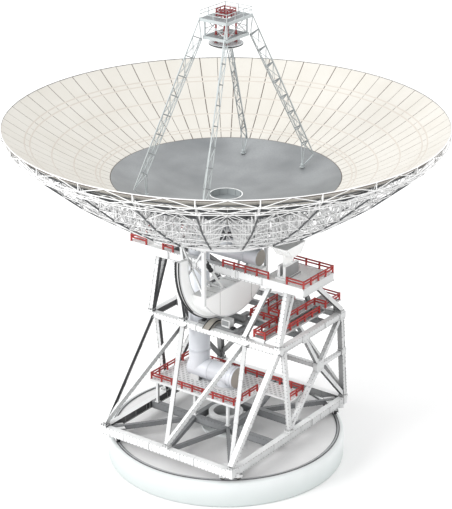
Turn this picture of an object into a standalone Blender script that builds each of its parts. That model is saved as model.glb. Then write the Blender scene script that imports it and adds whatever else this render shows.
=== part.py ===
"""Fully steerable radio telescope dish on a wheel and track mount, modelled at half size.

Every length below is the real telescope's, in metres, with heights from the ground.
The shape functions multiply by MODEL_SCALE, so the model itself is half as large.
X is the elevation axis, Y is level and across it, and Z is the azimuth axis.
The dish is at rest pointing at the zenith.
"""

import math

import bmesh
import bpy
from mathutils import Matrix, Vector

MODEL_SCALE = 0.5
SEAT = 0.0006

# Foundation and track
PAD_RADIUS = 17.86
PAD_TOP = 4.0
TRACK_INNER = 16.7
TRACK_OUTER = 17.3
TRACK_TOP = 4.2

# Turning frame (alidade)
BASE_X = 11.6
BASE_Y = 14.64
BASE_TOP = 6.56
BASE_DEPTH = 1.2
BASE_WIDTH = 0.95
MID_Z = 20.75
MID_FRONT_Y = -3.05
MID_BACK_Y = 13.3
MID_NODE_X = 5.7
MID_DEPTH = 0.95
FLOOR_BEAM_Y = (3.4, 9.4)
FLOOR_BEAM_X = 2.8
KNEE_Y = 7.56
KNEE_Z = 14.4
COLUMN = 0.8
DECK_Z = 10.9
DRIVE_DECK_TOP = 21.9
UPPER_DECK_TOP = 22.85
HEAD_LOW = 30.2
HEAD_TOP = 31.5
HEAD_X = (8.5, 15.7)
HEAD_Y = (-2.9, 4.9)

# Elevation axis
AXIS_Z = 33.04
SHAFT_RADIUS = 0.6
HOUSING_X = (10.3, 11.7)
HOUSING_REACH = 1.66
TONGUE_HALF = 0.23
TONGUE_RADIUS = 1.05
ARM_X = (9.7, 12.4)
HUB_LOW = 36.0
HUB_RADIUS = 8.4

# Drum under the elevation axis
DRUM_X = (-0.7, 2.0)
DRUM_REACH = 7.5
DRUM_RADIUS = 9.75
DRUM_TOP = 28.2
GEAR_RADIUS = 10.73
GEAR_INNER = 8.4
GEAR_TOP = 32.2
GEAR_X = (-1.3, -0.5)
STRUT_FOOT_Y = 3.4

# Reflector: a paraboloid with its vertex at VERTEX_Z
RIM_RADIUS = 32.0
DISC_RADIUS = 16.6
VERTEX_Z = 41.49
FOUR_FOCAL = 91.6
SKIN = 0.3
SKIN_RINGS = 3
SKIN_SIDES = 48
FEED_RADIUS = 2.05
RIBS = 24
RIM_INNER = 31.65
RIM_OUTER = 31.9
RIM_LOW = 50.9

# Feed support
APEX_X = 2.4
APEX_Y = 3.1
APEX_TOP = 68.0
APEX_LOW = 65.4
FOOT = (5.2, 11.4)
SUBREFLECTOR_RADIUS = 2.45
APEX_PLATE = 0.17

# Beam pipes
PIPE_X = -4.96
PIPE_RADIUS = 1.6
LOWER_PIPE_Z = 12.6
UPPER_TUBE_RADIUS = 1.2

WHITE = ("white_steel", (0.86, 0.88, 0.87), 0.5, 0.0)
CONCRETE = ("pale_concrete", (0.78, 0.80, 0.79), 0.85, 0.0)
TRACK_STEEL = ("track_steel", (0.18, 0.18, 0.18), 0.45, 0.8)
RED = ("red_rail", (0.55, 0.06, 0.05), 0.5, 0.0)
CREAM = ("cream_panel", (0.90, 0.86, 0.74), 0.55, 0.0)
GREY_PANEL = ("grey_panel", (0.42, 0.43, 0.43), 0.35, 0.3)
DARK = ("dark_machinery", (0.10, 0.11, 0.11), 0.55, 0.2)
PIPE_BLUE = ("pipe_blue_white", (0.75, 0.79, 0.84), 0.45, 0.0)


def clear_scene():
    for old in list(bpy.data.objects):
        bpy.data.objects.remove(old, do_unlink=True)


def make_collection(name):
    made = bpy.data.collections.new(name)
    bpy.context.scene.collection.children.link(made)
    return made


def material(look):
    name, colour, roughness, metallic = look
    made = bpy.data.materials.get(name)
    if made is None:
        made = bpy.data.materials.new(name)
        made.use_nodes = True
        shader = made.node_tree.nodes["Principled BSDF"]
        shader.inputs["Base Color"].default_value = (*colour, 1.0)
        shader.inputs["Roughness"].default_value = roughness
        shader.inputs["Metallic"].default_value = metallic
    return made


def pivot(name, location, parent=None):
    """An empty on a joint's axis, which carries the pieces that turn with it."""
    made = bpy.data.objects.new(name, None)
    made.location = Vector(location) * MODEL_SCALE
    PARTS.objects.link(made)
    if parent is not None:
        made.parent = parent
        made.location = made.location - parent.location
    bpy.context.view_layer.update()
    return made


def add_object(name, mesh, look, carrier, smooth=False):
    made = bpy.data.objects.new(name, mesh)
    mesh.materials.append(material(look))
    PARTS.objects.link(made)
    if smooth:
        mesh.shade_smooth()
        mesh.set_sharp_from_angle(angle=math.radians(35))
    if carrier is not None:
        made.parent = carrier
        made.matrix_parent_inverse = carrier.matrix_world.inverted()
    return made


def mesh_of(bm, name):
    bmesh.ops.recalc_face_normals(bm, faces=bm.faces)
    mesh = bpy.data.meshes.new(name)
    bm.to_mesh(mesh)
    bm.free()
    return mesh


def add_box(bm, low, high):
    low = Vector(low) * MODEL_SCALE
    high = Vector(high) * MODEL_SCALE
    middle = Matrix.Translation((low + high) / 2)
    size = Matrix.Diagonal((*(high - low), 1.0))
    bmesh.ops.create_cube(bm, size=1.0, matrix=middle @ size)


def frame_between(start, end, up):
    """Matrix whose Z runs from start to end and whose Y is as near to up as it can be."""
    along = (end - start).normalized()
    side = Vector(up).cross(along)
    if side.length < 1e-4:
        side = Vector((1.0, 0.0, 0.0)).cross(along)
    side.normalize()
    over = along.cross(side)
    turn = Matrix((side, over, along)).transposed().to_4x4()
    return Matrix.Translation((start + end) / 2) @ turn


def add_bar(bm, start, end, width, height=None, up=(0.0, 0.0, 1.0)):
    """A square or flat bar between two points."""
    start = Vector(start) * MODEL_SCALE
    end = Vector(end) * MODEL_SCALE
    height = width if height is None else height
    size = Matrix.Diagonal((width * MODEL_SCALE, height * MODEL_SCALE, (end - start).length, 1.0))
    bmesh.ops.create_cube(bm, size=1.0, matrix=frame_between(start, end, up) @ size)


def add_cylinder(bm, start, end, radius, sides=24, end_radius=None):
    start = Vector(start) * MODEL_SCALE
    end = Vector(end) * MODEL_SCALE
    bmesh.ops.create_cone(
        bm,
        cap_ends=True,
        segments=sides,
        radius1=radius * MODEL_SCALE,
        radius2=(radius if end_radius is None else end_radius) * MODEL_SCALE,
        depth=(end - start).length,
        matrix=frame_between(start, end, (0.0, 1.0, 0.0)),
    )


def add_outline(bm, outline, x_low, x_high):
    """A flat outline of (y, z) points, thickened along X."""
    corners = [bm.verts.new(Vector((x_low, y, z)) * MODEL_SCALE) for y, z in outline]
    face = bm.faces.new(corners)
    grown = bmesh.ops.extrude_face_region(bm, geom=[face])
    moved = [item for item in grown["geom"] if isinstance(item, bmesh.types.BMVert)]
    step = Vector((x_high - x_low, 0.0, 0.0)) * MODEL_SCALE
    bmesh.ops.translate(bm, verts=moved, vec=step)


def inset(corners, margin):
    """A triangle drawn inwards by a margin, or None where nothing would be left."""
    a, b, c = (Vector(corner) for corner in corners)
    sides = ((b - c).length, (c - a).length, (a - b).length)
    around = sum(sides)
    middle = (a * sides[0] + b * sides[1] + c * sides[2]) / around
    area = abs((b - a).cross(c - a)) / 2
    radius = 2.0 * area / around
    if radius < margin * 1.3:
        return None
    return [middle + (corner - middle) * (1.0 - margin / radius) for corner in (a, b, c)]


def truss_holes(upper, lower, margin):
    """Triangular openings between two chords, two for each bay, as (u, v) points."""
    holes = []
    for bay in range(len(upper) - 1):
        if bay % 2:
            triangles = (
                (lower[bay], upper[bay], lower[bay + 1]),
                (upper[bay], upper[bay + 1], lower[bay + 1]),
            )
        else:
            triangles = (
                (lower[bay], upper[bay], upper[bay + 1]),
                (lower[bay], lower[bay + 1], upper[bay + 1]),
            )
        holes += [hole for hole in (inset(corners, margin) for corners in triangles) if hole]
    return holes


def add_plate(bm, outline, holes, plane, thickness):
    """A flat plate with holes, drawn as (u, v) points in a plane and thickened to both sides."""
    part = bmesh.new()
    edges = []
    for loop in (outline, *holes):
        corners = [part.verts.new(Vector((u, v, -thickness / 2)) * MODEL_SCALE) for u, v in loop]
        edges += [part.edges.new(pair) for pair in zip(corners, corners[1:] + corners[:1])]
    filled = bmesh.ops.triangle_fill(part, edges=edges, use_beauty=True)
    faces = [item for item in filled["geom"] if isinstance(item, bmesh.types.BMFace)]
    grown = bmesh.ops.extrude_face_region(part, geom=faces)
    moved = [item for item in grown["geom"] if isinstance(item, bmesh.types.BMVert)]
    bmesh.ops.translate(part, verts=moved, vec=(0.0, 0.0, thickness * MODEL_SCALE))
    bmesh.ops.transform(part, matrix=plane, verts=part.verts)
    bmesh.ops.recalc_face_normals(part, faces=part.faces)
    mesh = bpy.data.meshes.new("plate")
    part.to_mesh(mesh)
    part.free()
    bm.from_mesh(mesh)
    bpy.data.meshes.remove(mesh)


def radial_plane(degrees):
    """Plane through the Z axis whose u runs outwards and whose v runs up."""
    angle = math.radians(degrees)
    out = Vector((math.cos(angle), math.sin(angle), 0.0))
    up = Vector((0.0, 0.0, 1.0))
    return Matrix((out, up, out.cross(up))).transposed().to_4x4()


def solid(name, look, carrier, draw, smooth=False):
    """One object from a function that draws a single closed shape."""
    bm = bmesh.new()
    draw(bm)
    return add_object(name, mesh_of(bm, name), look, carrier, smooth)


def fused(name, look, carrier, shapes, cuts=(), smooth=False):
    """One object from many overlapping shapes, joined by a Boolean union, and then cut."""
    bm = bmesh.new()
    for draw in shapes[1:]:
        draw(bm)
    made = add_object(name, mesh_of(bm, name), look, carrier, smooth)
    first = bmesh.new()
    shapes[0](first)
    join = made.modifiers.new("join", "BOOLEAN")
    join.operation = "UNION"
    join.solver = "EXACT"
    join.use_self = True
    join.object = helper(name + "_seed", first)
    for number, draw in enumerate(cuts):
        bm = bmesh.new()
        draw(bm)
        cut = made.modifiers.new("cut", "BOOLEAN")
        cut.operation = "DIFFERENCE"
        cut.solver = "EXACT"
        cut.object = helper(f"{name}_cut_{number}", bm)
    return made


def helper(name, bm):
    made = bpy.data.objects.new(name, mesh_of(bm, name))
    made.hide_render = True
    made.display_type = "WIRE"
    HELPERS.objects.link(made)
    return made


def turned(name, look, carrier, profile, steps, closed=True):
    """A profile of (radius, z) points turned about the Z axis. It runs down its outer side."""
    bm = bmesh.new()
    corners = [bm.verts.new(Vector((r, 0.0, z)) * MODEL_SCALE) for r, z in profile]
    for first, second in zip(corners, corners[1:]):
        bm.edges.new((first, second))
    if closed:
        bm.edges.new((corners[-1], corners[0]))
    mesh = bpy.data.meshes.new(name)
    bm.to_mesh(mesh)
    bm.free()
    made = add_object(name, mesh, look, carrier)
    screw = made.modifiers.new("turn", "SCREW")
    screw.steps = steps
    screw.render_steps = steps
    screw.use_merge_vertices = True
    screw.merge_threshold = 0.0001
    screw.use_smooth_shade = False
    return made


def bar(start, end, width, height=None, up=(0.0, 0.0, 1.0)):
    return lambda bm: add_bar(bm, start, end, width, height, up)


def box(low, high):
    return lambda bm: add_box(bm, low, high)


def cylinder(start, end, radius, sides=24, end_radius=None):
    return lambda bm: add_cylinder(bm, start, end, radius, sides, end_radius)


def slab(outline, x_low, x_high):
    """A shape of (y, z) points, as thick along X as stated."""
    return lambda bm: add_outline(bm, outline, x_low, x_high)


def between(start, end, share):
    return tuple(a + (b - a) * share for a, b in zip(start, end))


def surface(radius):
    """Height of the reflecting surface at a radius."""
    return VERTEX_Z + radius * radius / FOUR_FOCAL


def skin_rings(inner, outer):
    """Radii of the rings of facets between two radii."""
    return [inner + (outer - inner) * step / SKIN_RINGS for step in range(SKIN_RINGS + 1)]


def skin_top(radius):
    """Height of the faceted skins at a radius, on a line of their corners."""
    radii = skin_rings(FEED_RADIUS, DISC_RADIUS) + skin_rings(DISC_RADIUS, RIM_RADIUS)[1:]
    for low, high in zip(radii, radii[1:]):
        if radius <= high:
            share = (radius - low) / (high - low)
            return surface(low) * (1.0 - share) + surface(high) * share
    return surface(radius)


def skin_seat(radius):
    """Height of what carries the skins at a radius, on a line of their corners."""
    return skin_top(radius) - SKIN - SEAT


def polygon_reach(radius, sides, offset):
    """How far a polygonal ring reaches along a line of its corners, at an offset to the side."""
    turn = 2.0 * math.pi / sides
    step = 0
    while radius * math.sin((step + 1) * turn) < offset:
        step += 1
    near_y, far_y = radius * math.sin(step * turn), radius * math.sin((step + 1) * turn)
    near_x, far_x = radius * math.cos(step * turn), radius * math.cos((step + 1) * turn)
    return near_x + (far_x - near_x) * (offset - near_y) / (far_y - near_y)


def polar(radius, degrees, z):
    angle = math.radians(degrees)
    return (radius * math.cos(angle), radius * math.sin(angle), z)


def railing(name, carrier, points, spacing=3.4, height=1.15, closed=False):
    """Posts and two rails along a path of floor points."""
    post = 0.17
    rail = 0.14
    shapes = []
    pairs = list(zip(points, points[1:]))
    if closed:
        pairs.append((points[-1], points[0]))
    lift = Vector((0.0, 0.0, SEAT))
    for number, (start, end) in enumerate(pairs):
        start = Vector(start) + lift
        end = Vector(end) + lift
        count = max(1, round((end - start).length / spacing))
        last = count if closed or number < len(pairs) - 1 else count + 1
        for step in range(last):
            foot = start.lerp(end, step / count)
            shapes.append(bar(foot, foot + Vector((0.0, 0.0, height)), post))
        reach = (end - start).normalized() * (post / 2 - 0.02)
        for level in (height - rail / 2 - 0.02, height * 0.52):
            over = Vector((0.0, 0.0, level))
            shapes.append(bar(start + over - reach, end + over + reach, rail))
    return fused(name, RED, carrier, shapes)


def build_foundation():
    bevel = 0.12
    pad = (
        (0.0, PAD_TOP),
        (PAD_RADIUS - bevel, PAD_TOP),
        (PAD_RADIUS, PAD_TOP - bevel),
        (PAD_RADIUS, 0.0),
        (0.0, 0.0),
    )
    turned("foundation_pad", CONCRETE, None, pad, 64, closed=False)
    low = PAD_TOP + SEAT
    rail = ((TRACK_INNER, TRACK_TOP), (TRACK_OUTER, TRACK_TOP), (TRACK_OUTER, low), (TRACK_INNER, low))
    turned("track_rail", TRACK_STEEL, None, rail, 48)
    pintle = ((2.0, 5.0), (2.5, 5.0), (2.5, 4.35), (3.7, 4.35), (3.7, low), (2.0, low))
    turned("pintle_base", CONCRETE, None, pintle, 24)


def build_bogies(carrier):
    """Four wheel sets under the corners of the turning frame, standing on the track."""
    wheel_radius = 0.42
    track = (TRACK_INNER + TRACK_OUTER) / 2
    corner = math.degrees(math.atan2(BASE_Y, BASE_X))
    places = {
        "front_right": -corner,
        "back_right": corner,
        "back_left": 180.0 - corner,
        "front_left": corner - 180.0,
    }
    for place, degrees in places.items():
        out = Vector(polar(1.0, degrees, 0.0))
        along = Vector(polar(1.0, degrees + 90.0, 0.0))
        centre = Vector(polar(track, degrees, 0.0))
        top = BASE_TOP - BASE_DEPTH - 0.25 - SEAT
        body = centre + Vector((0.0, 0.0, 4.84))
        shapes = [bar(body - along * 1.7, body + along * 1.7, 0.9, 0.44)]
        mast = centre + Vector((0.0, 0.0, 4.7))
        shapes.append(bar(mast, Vector((centre.x, centre.y, top)), 0.8, 0.8, along))
        for way in (-1.1, 1.1):
            hub = centre + along * way + Vector((0.0, 0.0, TRACK_TOP + wheel_radius + SEAT))
            shapes.append(cylinder(hub - out * 0.25, hub + out * 0.25, wheel_radius, 16))
        fused("bogie_" + place, WHITE, carrier, shapes)


def build_base_frame(carrier):
    centre_z = BASE_TOP - BASE_DEPTH / 2
    inner_y = 3.7
    inner_x = 3.05
    shapes = []

    def beam(start, end, width=BASE_WIDTH, depth=BASE_DEPTH):
        shapes.append(bar((*start, centre_z), (*end, centre_z), width, depth))

    for side in (-1, 1):
        beam((-BASE_X - 0.47, side * BASE_Y), (BASE_X + 0.47, side * BASE_Y))
        beam((side * BASE_X, -BASE_Y), (side * BASE_X, BASE_Y), BASE_WIDTH - 0.03, BASE_DEPTH - 0.03)
        beam((-BASE_X, side * inner_y), (BASE_X, side * inner_y), 0.8, BASE_DEPTH - 0.1)
        beam((side * inner_x, -inner_y), (side * inner_x, inner_y), 0.82, BASE_DEPTH - 0.14)
        for way in (-1, 1):
            beam((way * BASE_X, side * BASE_Y), (way * inner_x, side * inner_y), 0.55, 0.7)
            beam((0.0, side * BASE_Y), (way * inner_x, side * inner_y), 0.5, 0.65)
            plate_low = BASE_TOP - BASE_DEPTH - 0.25
            corner = math.degrees(math.atan2(side * BASE_Y, way * BASE_X))
            plate_centre = Vector(polar(17.0, corner, plate_low + 0.3))
            out = plate_centre.normalized()
            out.z = 0.0
            out.normalize()
            shapes.append(bar(plate_centre - out * 1.4, plate_centre + out * 1.4, 2.4, 0.6))
    fused("base_frame", WHITE, carrier, shapes)
    ring_outer = inner_x - 0.41 - SEAT
    ring = ((1.9, BASE_TOP + 0.05), (ring_outer, BASE_TOP + 0.05), (ring_outer, 5.05), (1.9, 5.05))
    turned("pintle_ring", WHITE, carrier, ring, 24)


def foot_block(x, y, z, size=1.5, tall=0.55):
    half = size / 2
    return box((x - half, y - half, z + SEAT), (x + half, y + half, z + tall))


def build_side_frames(carrier):
    """The four lattice faces between the base frame and the level of the drives."""
    base = BASE_TOP + 0.45
    shapes = [bar((-BASE_X - 0.5, MID_FRONT_Y, MID_Z), (BASE_X + 0.5, MID_FRONT_Y, MID_Z), 0.9, MID_DEPTH)]
    for x in (-BASE_X, 0.0, BASE_X):
        shapes.append(foot_block(x, -BASE_Y, BASE_TOP))
    front_bars = (
        (-BASE_X, -BASE_X, COLUMN),
        (-BASE_X, -MID_NODE_X, 0.6),
        (0.0, -MID_NODE_X, 0.62),
        (0.0, MID_NODE_X, 0.62),
        (BASE_X, MID_NODE_X, 0.6),
        (BASE_X, BASE_X, COLUMN),
    )
    for low_x, high_x, width in front_bars:
        shapes.append(bar((low_x, -BASE_Y, base), (high_x, MID_FRONT_Y, MID_Z), width))
    fused("front_face", WHITE, carrier, shapes)

    chord_start = MID_FRONT_Y + 0.45 + SEAT
    for side, name in ((-1, "left_face"), (1, "right_face")):
        x = side * BASE_X
        knee = (x, KNEE_Y, KNEE_Z)
        shapes = [
            bar((x, chord_start, MID_Z), (x, MID_BACK_Y + 0.5, MID_Z), 0.9, MID_DEPTH),
            bar((x, BASE_Y, base), (x, MID_BACK_Y, MID_Z), COLUMN, up=(0.0, 1.0, 0.0)),
            bar((x, 0.0, base), knee, 0.66, up=(1.0, 0.0, 0.0)),
            bar(knee, (x, MID_BACK_Y, MID_Z), 0.66, up=(1.0, 0.0, 0.0)),
            bar(knee, (x, BASE_Y - 0.3, base + 0.1), 0.58, up=(1.0, 0.0, 0.0)),
            bar(knee, (x, FLOOR_BEAM_Y[0], MID_Z), 0.56, up=(1.0, 0.0, 0.0)),
            bar(knee, (x, 13.97, KNEE_Z - 0.02), 0.54),
            bar((x, 0.0, base), (x, MID_FRONT_Y + 1.3, MID_Z - 0.2), 0.64, up=(1.0, 0.0, 0.0)),
            foot_block(x, 0.0, BASE_TOP),
            foot_block(x, BASE_Y, BASE_TOP),
        ]
        fused(name, WHITE, carrier, shapes)

    inner = BASE_X - 0.45 - SEAT
    shapes = [bar((-inner, MID_BACK_Y, MID_Z), (inner, MID_BACK_Y, MID_Z), 0.86, MID_DEPTH - 0.05)]
    for side in (-1, 1):
        shapes.append(bar((side * BASE_X, BASE_Y, base + 0.4), (0.0, MID_BACK_Y, MID_Z), 0.6))
    column_face = BASE_X - COLUMN / 2 - SEAT
    cuts = [
        box((-BASE_X - 1.0, BASE_Y - 2.0, base - 1.0), (-column_face, BASE_Y + 1.0, KNEE_Z)),
        box((column_face, BASE_Y - 2.0, base - 1.0), (BASE_X + 1.0, BASE_Y + 1.0, KNEE_Z)),
    ]
    fused("back_face", WHITE, carrier, shapes, cuts)

    reach = BASE_X - 0.33 - SEAT
    beam = bar((-reach, KNEE_Y, KNEE_Z), (reach, KNEE_Y, KNEE_Z), 0.6, 0.7)
    solid("rear_cross_beam", WHITE, carrier, beam)


def pinion_outline(low):
    """The low arched housing of the pinion, (y, z) points from the front to the back."""
    middle, reach, rise, steps = -1.75, 2.1, 0.75, 10
    outline = []
    for step in range(steps + 1):
        angle = math.pi * step / steps
        outline.append((middle - reach * math.cos(angle), low + rise * math.sin(angle)))
    return outline


def build_mid_floor(carrier):
    """Beams at the level of the drives, and the drive machinery under the drum."""
    inner = BASE_X - 0.45 - SEAT
    front = MID_FRONT_Y + 0.45 + SEAT
    shapes = []
    for y in FLOOR_BEAM_Y:
        shapes.append(bar((-inner, y, MID_Z), (inner, y, MID_Z), 0.6, 0.8))
    for x in (-FLOOR_BEAM_X, FLOOR_BEAM_X):
        shapes.append(bar((x, front, MID_Z), (x, FLOOR_BEAM_Y[1], MID_Z), 0.58, 0.76))
    fused("drive_floor_beams", WHITE, carrier, shapes)

    top = MID_Z + 0.38 + SEAT
    shapes = [
        box((-3.3, -2.5, top), (3.2, -1.3, top + 0.4)),
        box((-3.28, 0.7, top + 0.02), (3.18, 1.9, top + 0.38)),
        box((0.5, -2.45, top + 0.06), (1.3, 4.6, top + 0.45)),
        slab(pinion_outline(top + 0.1), GEAR_X[0] - 0.25, GEAR_X[1] + 0.25),
        box((0.7, -2.15, top + 0.3), (2.2, -0.9, top + 1.6)),
        cylinder((0.1, 1.3, top + 0.75), (2.6, 1.3, top + 0.75), 0.42, 16),
    ]
    fused("elevation_drive", DARK, carrier, shapes)

    low, high = DRIVE_DECK_TOP - 0.25, DRIVE_DECK_TOP
    beam_top = MID_Z + 0.4 + SEAT
    chord_top = MID_Z + MID_DEPTH / 2 + SEAT
    shapes = [
        box((7.0, MID_FRONT_Y + 0.05, low), (9.2, 0.2, high)),
        box((6.9, 0.0, low + 0.01), (10.3, 11.2, high)),
        box((2.3, 2.75, low), (7.2, 9.9, high)),
        box((7.2, MID_FRONT_Y + 0.1, chord_top), (9.0, MID_FRONT_Y + 0.4, low + 0.05)),
    ]
    for y in FLOOR_BEAM_Y:
        shapes.append(box((2.5, y - 0.2, beam_top), (10.1, y + 0.2, low + 0.05)))
    fused("drive_deck", WHITE, carrier, shapes)
    path = [
        (2.45, 9.75, high),
        (2.45, 2.9, high),
        (7.15, 2.9, high),
        (7.15, MID_FRONT_Y + 0.2, high),
        (9.05, MID_FRONT_Y + 0.2, high),
        (9.05, 0.15, high),
        (10.15, 0.15, high),
        (10.15, 9.7, high),
    ]
    railing("drive_deck_rails", carrier, path)

    foot = high + SEAT
    low, high = UPPER_DECK_TOP - 0.22, UPPER_DECK_TOP
    shapes = [
        box((5.3, 3.1, low), (9.2, 10.1, high)),
        box((7.8, 9.9, low + 0.01), (11.15, 14.0, high)),
    ]
    for x, y in ((5.6, 3.5), (8.9, 3.5), (5.6, 9.6), (8.9, 9.6)):
        shapes.append(box((x - 0.17, y - 0.17, foot), (x + 0.17, y + 0.17, low + 0.05)))
    shapes.append(box((8.4, MID_BACK_Y - 0.2, chord_top), (8.8, MID_BACK_Y + 0.2, low + 0.05)))
    shapes.append(box((10.4, MID_BACK_Y - 0.2, chord_top), (10.8, MID_BACK_Y + 0.2, low + 0.05)))
    fused("upper_drive_deck", WHITE, carrier, shapes)
    path = [
        (5.45, 9.95, high),
        (5.45, 3.25, high),
        (9.05, 3.25, high),
        (9.05, 10.05, high),
        (11.0, 10.05, high),
        (11.0, 13.85, high),
        (7.95, 13.85, high),
    ]
    railing("upper_drive_deck_rails", carrier, path)


def build_towers(carrier):
    """The upper towers, with the platform boxes that carry the elevation bearings."""
    base = MID_Z + MID_DEPTH / 2
    start = base + 0.4
    top = HEAD_LOW + 0.3
    for side, name in ((-1, "left"), (1, "right")):
        x = side * BASE_X
        low_x = min(side * HEAD_X[0], side * HEAD_X[1])
        high_x = max(side * HEAD_X[0], side * HEAD_X[1])
        shapes = [
            box((low_x, HEAD_Y[0], HEAD_LOW), (high_x, HEAD_Y[1], HEAD_TOP)),
            bar((x, MID_FRONT_Y, start), (x, -0.9, top), 0.7),
            bar((x, MID_FRONT_Y + 0.3, start), (x, 1.1, top), 0.62),
            bar((x, MID_BACK_Y, start), (x, 3.4, top), 0.66),
            bar((side * MID_NODE_X, MID_FRONT_Y, start), (side * 9.0, -0.9, top), 0.64),
            bar((side * MID_NODE_X, MID_BACK_Y, start), (side * 10.2, 3.9, top), 0.6),
        ]
        for foot_x in (x, side * MID_NODE_X):
            for foot_y in (MID_FRONT_Y, MID_BACK_Y):
                shapes.append(foot_block(foot_x, foot_y, base, 1.1, 0.6))
        fused(name + "_tower", WHITE, carrier, shapes)

        low_x = min(side * HOUSING_X[0], side * HOUSING_X[1])
        high_x = max(side * HOUSING_X[0], side * HOUSING_X[1])
        housing = [
            box((low_x, -HOUSING_REACH, HEAD_TOP + SEAT), (high_x, HOUSING_REACH, AXIS_Z + 0.42)),
            box((low_x - 0.2, -2.0, HEAD_TOP + SEAT), (high_x + 0.2, 2.0, HEAD_TOP + 0.25)),
        ]
        seat_sides = 30
        seat_radius = (SHAFT_RADIUS + SEAT) / math.cos(math.pi / seat_sides)
        middle = (low_x + high_x) / 2
        slot = TONGUE_HALF + 0.03
        floor = AXIS_Z - TONGUE_RADIUS - 0.09
        cuts = [
            box((middle - slot, -3.0, floor), (middle + slot, 3.0, AXIS_Z + 1.0)),
            cylinder((low_x - 1.0, 0.0, AXIS_Z), (high_x + 1.0, 0.0, AXIS_Z), seat_radius, seat_sides),
        ]
        fused(name + "_bearing_housing", WHITE, carrier, housing, cuts)

        out = side * (HEAD_X[1] - 0.15)
        inside = side * (HEAD_X[0] + 0.15)
        path = [
            (side * 12.7, HEAD_Y[0] + 0.15, HEAD_TOP),
            (out, HEAD_Y[0] + 0.15, HEAD_TOP),
            (out, HEAD_Y[1] - 0.15, HEAD_TOP),
            (inside, HEAD_Y[1] - 0.15, HEAD_TOP),
            (inside, 2.6, HEAD_TOP),
        ]
        railing(name + "_platform_rails", carrier, path)
    reach = HEAD_X[0] - SEAT
    girder = box((-reach, HEAD_Y[0], HEAD_LOW), (reach, HEAD_Y[0] + 1.0, HEAD_TOP))
    solid("front_girder", WHITE, carrier, girder)
    for name, near, far in (("left", -7.65, -9.5), ("right", 1.5, 9.5)):
        line = [(near, HEAD_Y[0] + 0.12, HEAD_TOP), (far, HEAD_Y[0] + 0.12, HEAD_TOP)]
        railing(name + "_girder_rails", carrier, line, 2.6)


def build_lower_deck(carrier):
    low = DECK_Z - 0.25
    outline_box = [
        box((-10.5, -5.1, low), (5.2, 5.0, DECK_Z)),
        box((4.8, 1.2, low + 0.01), (10.9, 4.98, DECK_Z)),
    ]
    foot = BASE_TOP - 0.05 + SEAT
    frame = [bar((x, y, foot), (x, y, low + 0.1), 0.4) for x in (-10.2, -3.05, 3.05) for y in (-3.7, 3.7)]
    frame.append(bar((10.5, 3.7, foot), (10.5, 3.7, low + 0.1), 0.4))
    hole = [cylinder((0.0, 0.0, low - 1.0), (0.0, 0.0, DECK_Z + 1.0), 1.75, 24)]
    fused("lower_deck", WHITE, carrier, outline_box + frame, hole)
    path = [
        (5.05, 1.0, DECK_Z),
        (5.05, -4.95, DECK_Z),
        (-10.35, -4.95, DECK_Z),
        (-10.35, 4.85, DECK_Z),
        (10.7, 4.85, DECK_Z),
        (10.7, 1.4, DECK_Z),
    ]
    railing("lower_deck_rails", carrier, path, 4.0)


def build_beam_pipes(carrier):
    x = PIPE_X
    z = LOWER_PIPE_Z
    shapes = [
        cylinder((x, 0.0, z - 0.2), (x, 0.0, z + 2.8), PIPE_RADIUS, 20),
        cylinder((x - 1.3, 0.0, z), (1.9, 0.0, z), PIPE_RADIUS - 0.02, 20),
        cylinder((1.5, 0.0, z), (2.1, 0.0, z), PIPE_RADIUS + 0.08, 20),
        cylinder((0.0, 0.0, z), (0.0, 0.0, DECK_Z - 0.6), PIPE_RADIUS - 0.1, 20),
        cylinder((0.0, 0.0, DECK_Z + 0.2), (0.0, 0.0, DECK_Z + SEAT), 2.0, 20),
        box((x - 0.8, -1.3, DECK_Z + SEAT), (x + 0.8, 1.3, z - 0.9)),
    ]
    fused("lower_beam_pipe", PIPE_BLUE, carrier, shapes)
    shapes = [
        cylinder((x, 0.0, z + 2.8 + SEAT), (x, 0.0, AXIS_Z + 0.6), PIPE_RADIUS, 20),
        cylinder((x, 0.0, z + 2.8 + SEAT), (x, 0.0, z + 3.1), PIPE_RADIUS + 0.12, 20),
        cylinder((x - 1.2, 0.0, AXIS_Z), (-3.2, 0.0, AXIS_Z), UPPER_TUBE_RADIUS + 0.2, 20),
    ]
    fused("vertical_beam_pipe", PIPE_BLUE, carrier, shapes)


def circle_outline(radius, top, steps):
    """Points of a disc segment below the elevation axis, cut off level at a height."""
    reach = math.acos((AXIS_Z - top) / radius)
    points = []
    for step in range(steps + 1):
        angle = -reach + 2.0 * reach * step / steps
        points.append((radius * math.sin(angle), AXIS_Z - radius * math.cos(angle)))
    return points


def add_ring_sector(bm, inner, outer, top, x_low, x_high, steps):
    """Part of a ring about the elevation axis, below a height."""
    rows = []
    for radius in (inner, outer):
        reach = math.acos((AXIS_Z - top) / radius)
        for x in (x_low, x_high):
            row = []
            for step in range(steps + 1):
                angle = -reach + 2.0 * reach * step / steps
                place = Vector((x, radius * math.sin(angle), AXIS_Z - radius * math.cos(angle)))
                row.append(bm.verts.new(place * MODEL_SCALE))
            rows.append(row)
    loop = (rows[0], rows[1], rows[3], rows[2])
    for here, there in zip(loop, loop[1:] + loop[:1]):
        for step in range(steps):
            bm.faces.new((here[step], here[step + 1], there[step + 1], there[step]))
    bm.faces.new([row[0] for row in loop])
    bm.faces.new([row[-1] for row in reversed(loop)])


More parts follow.
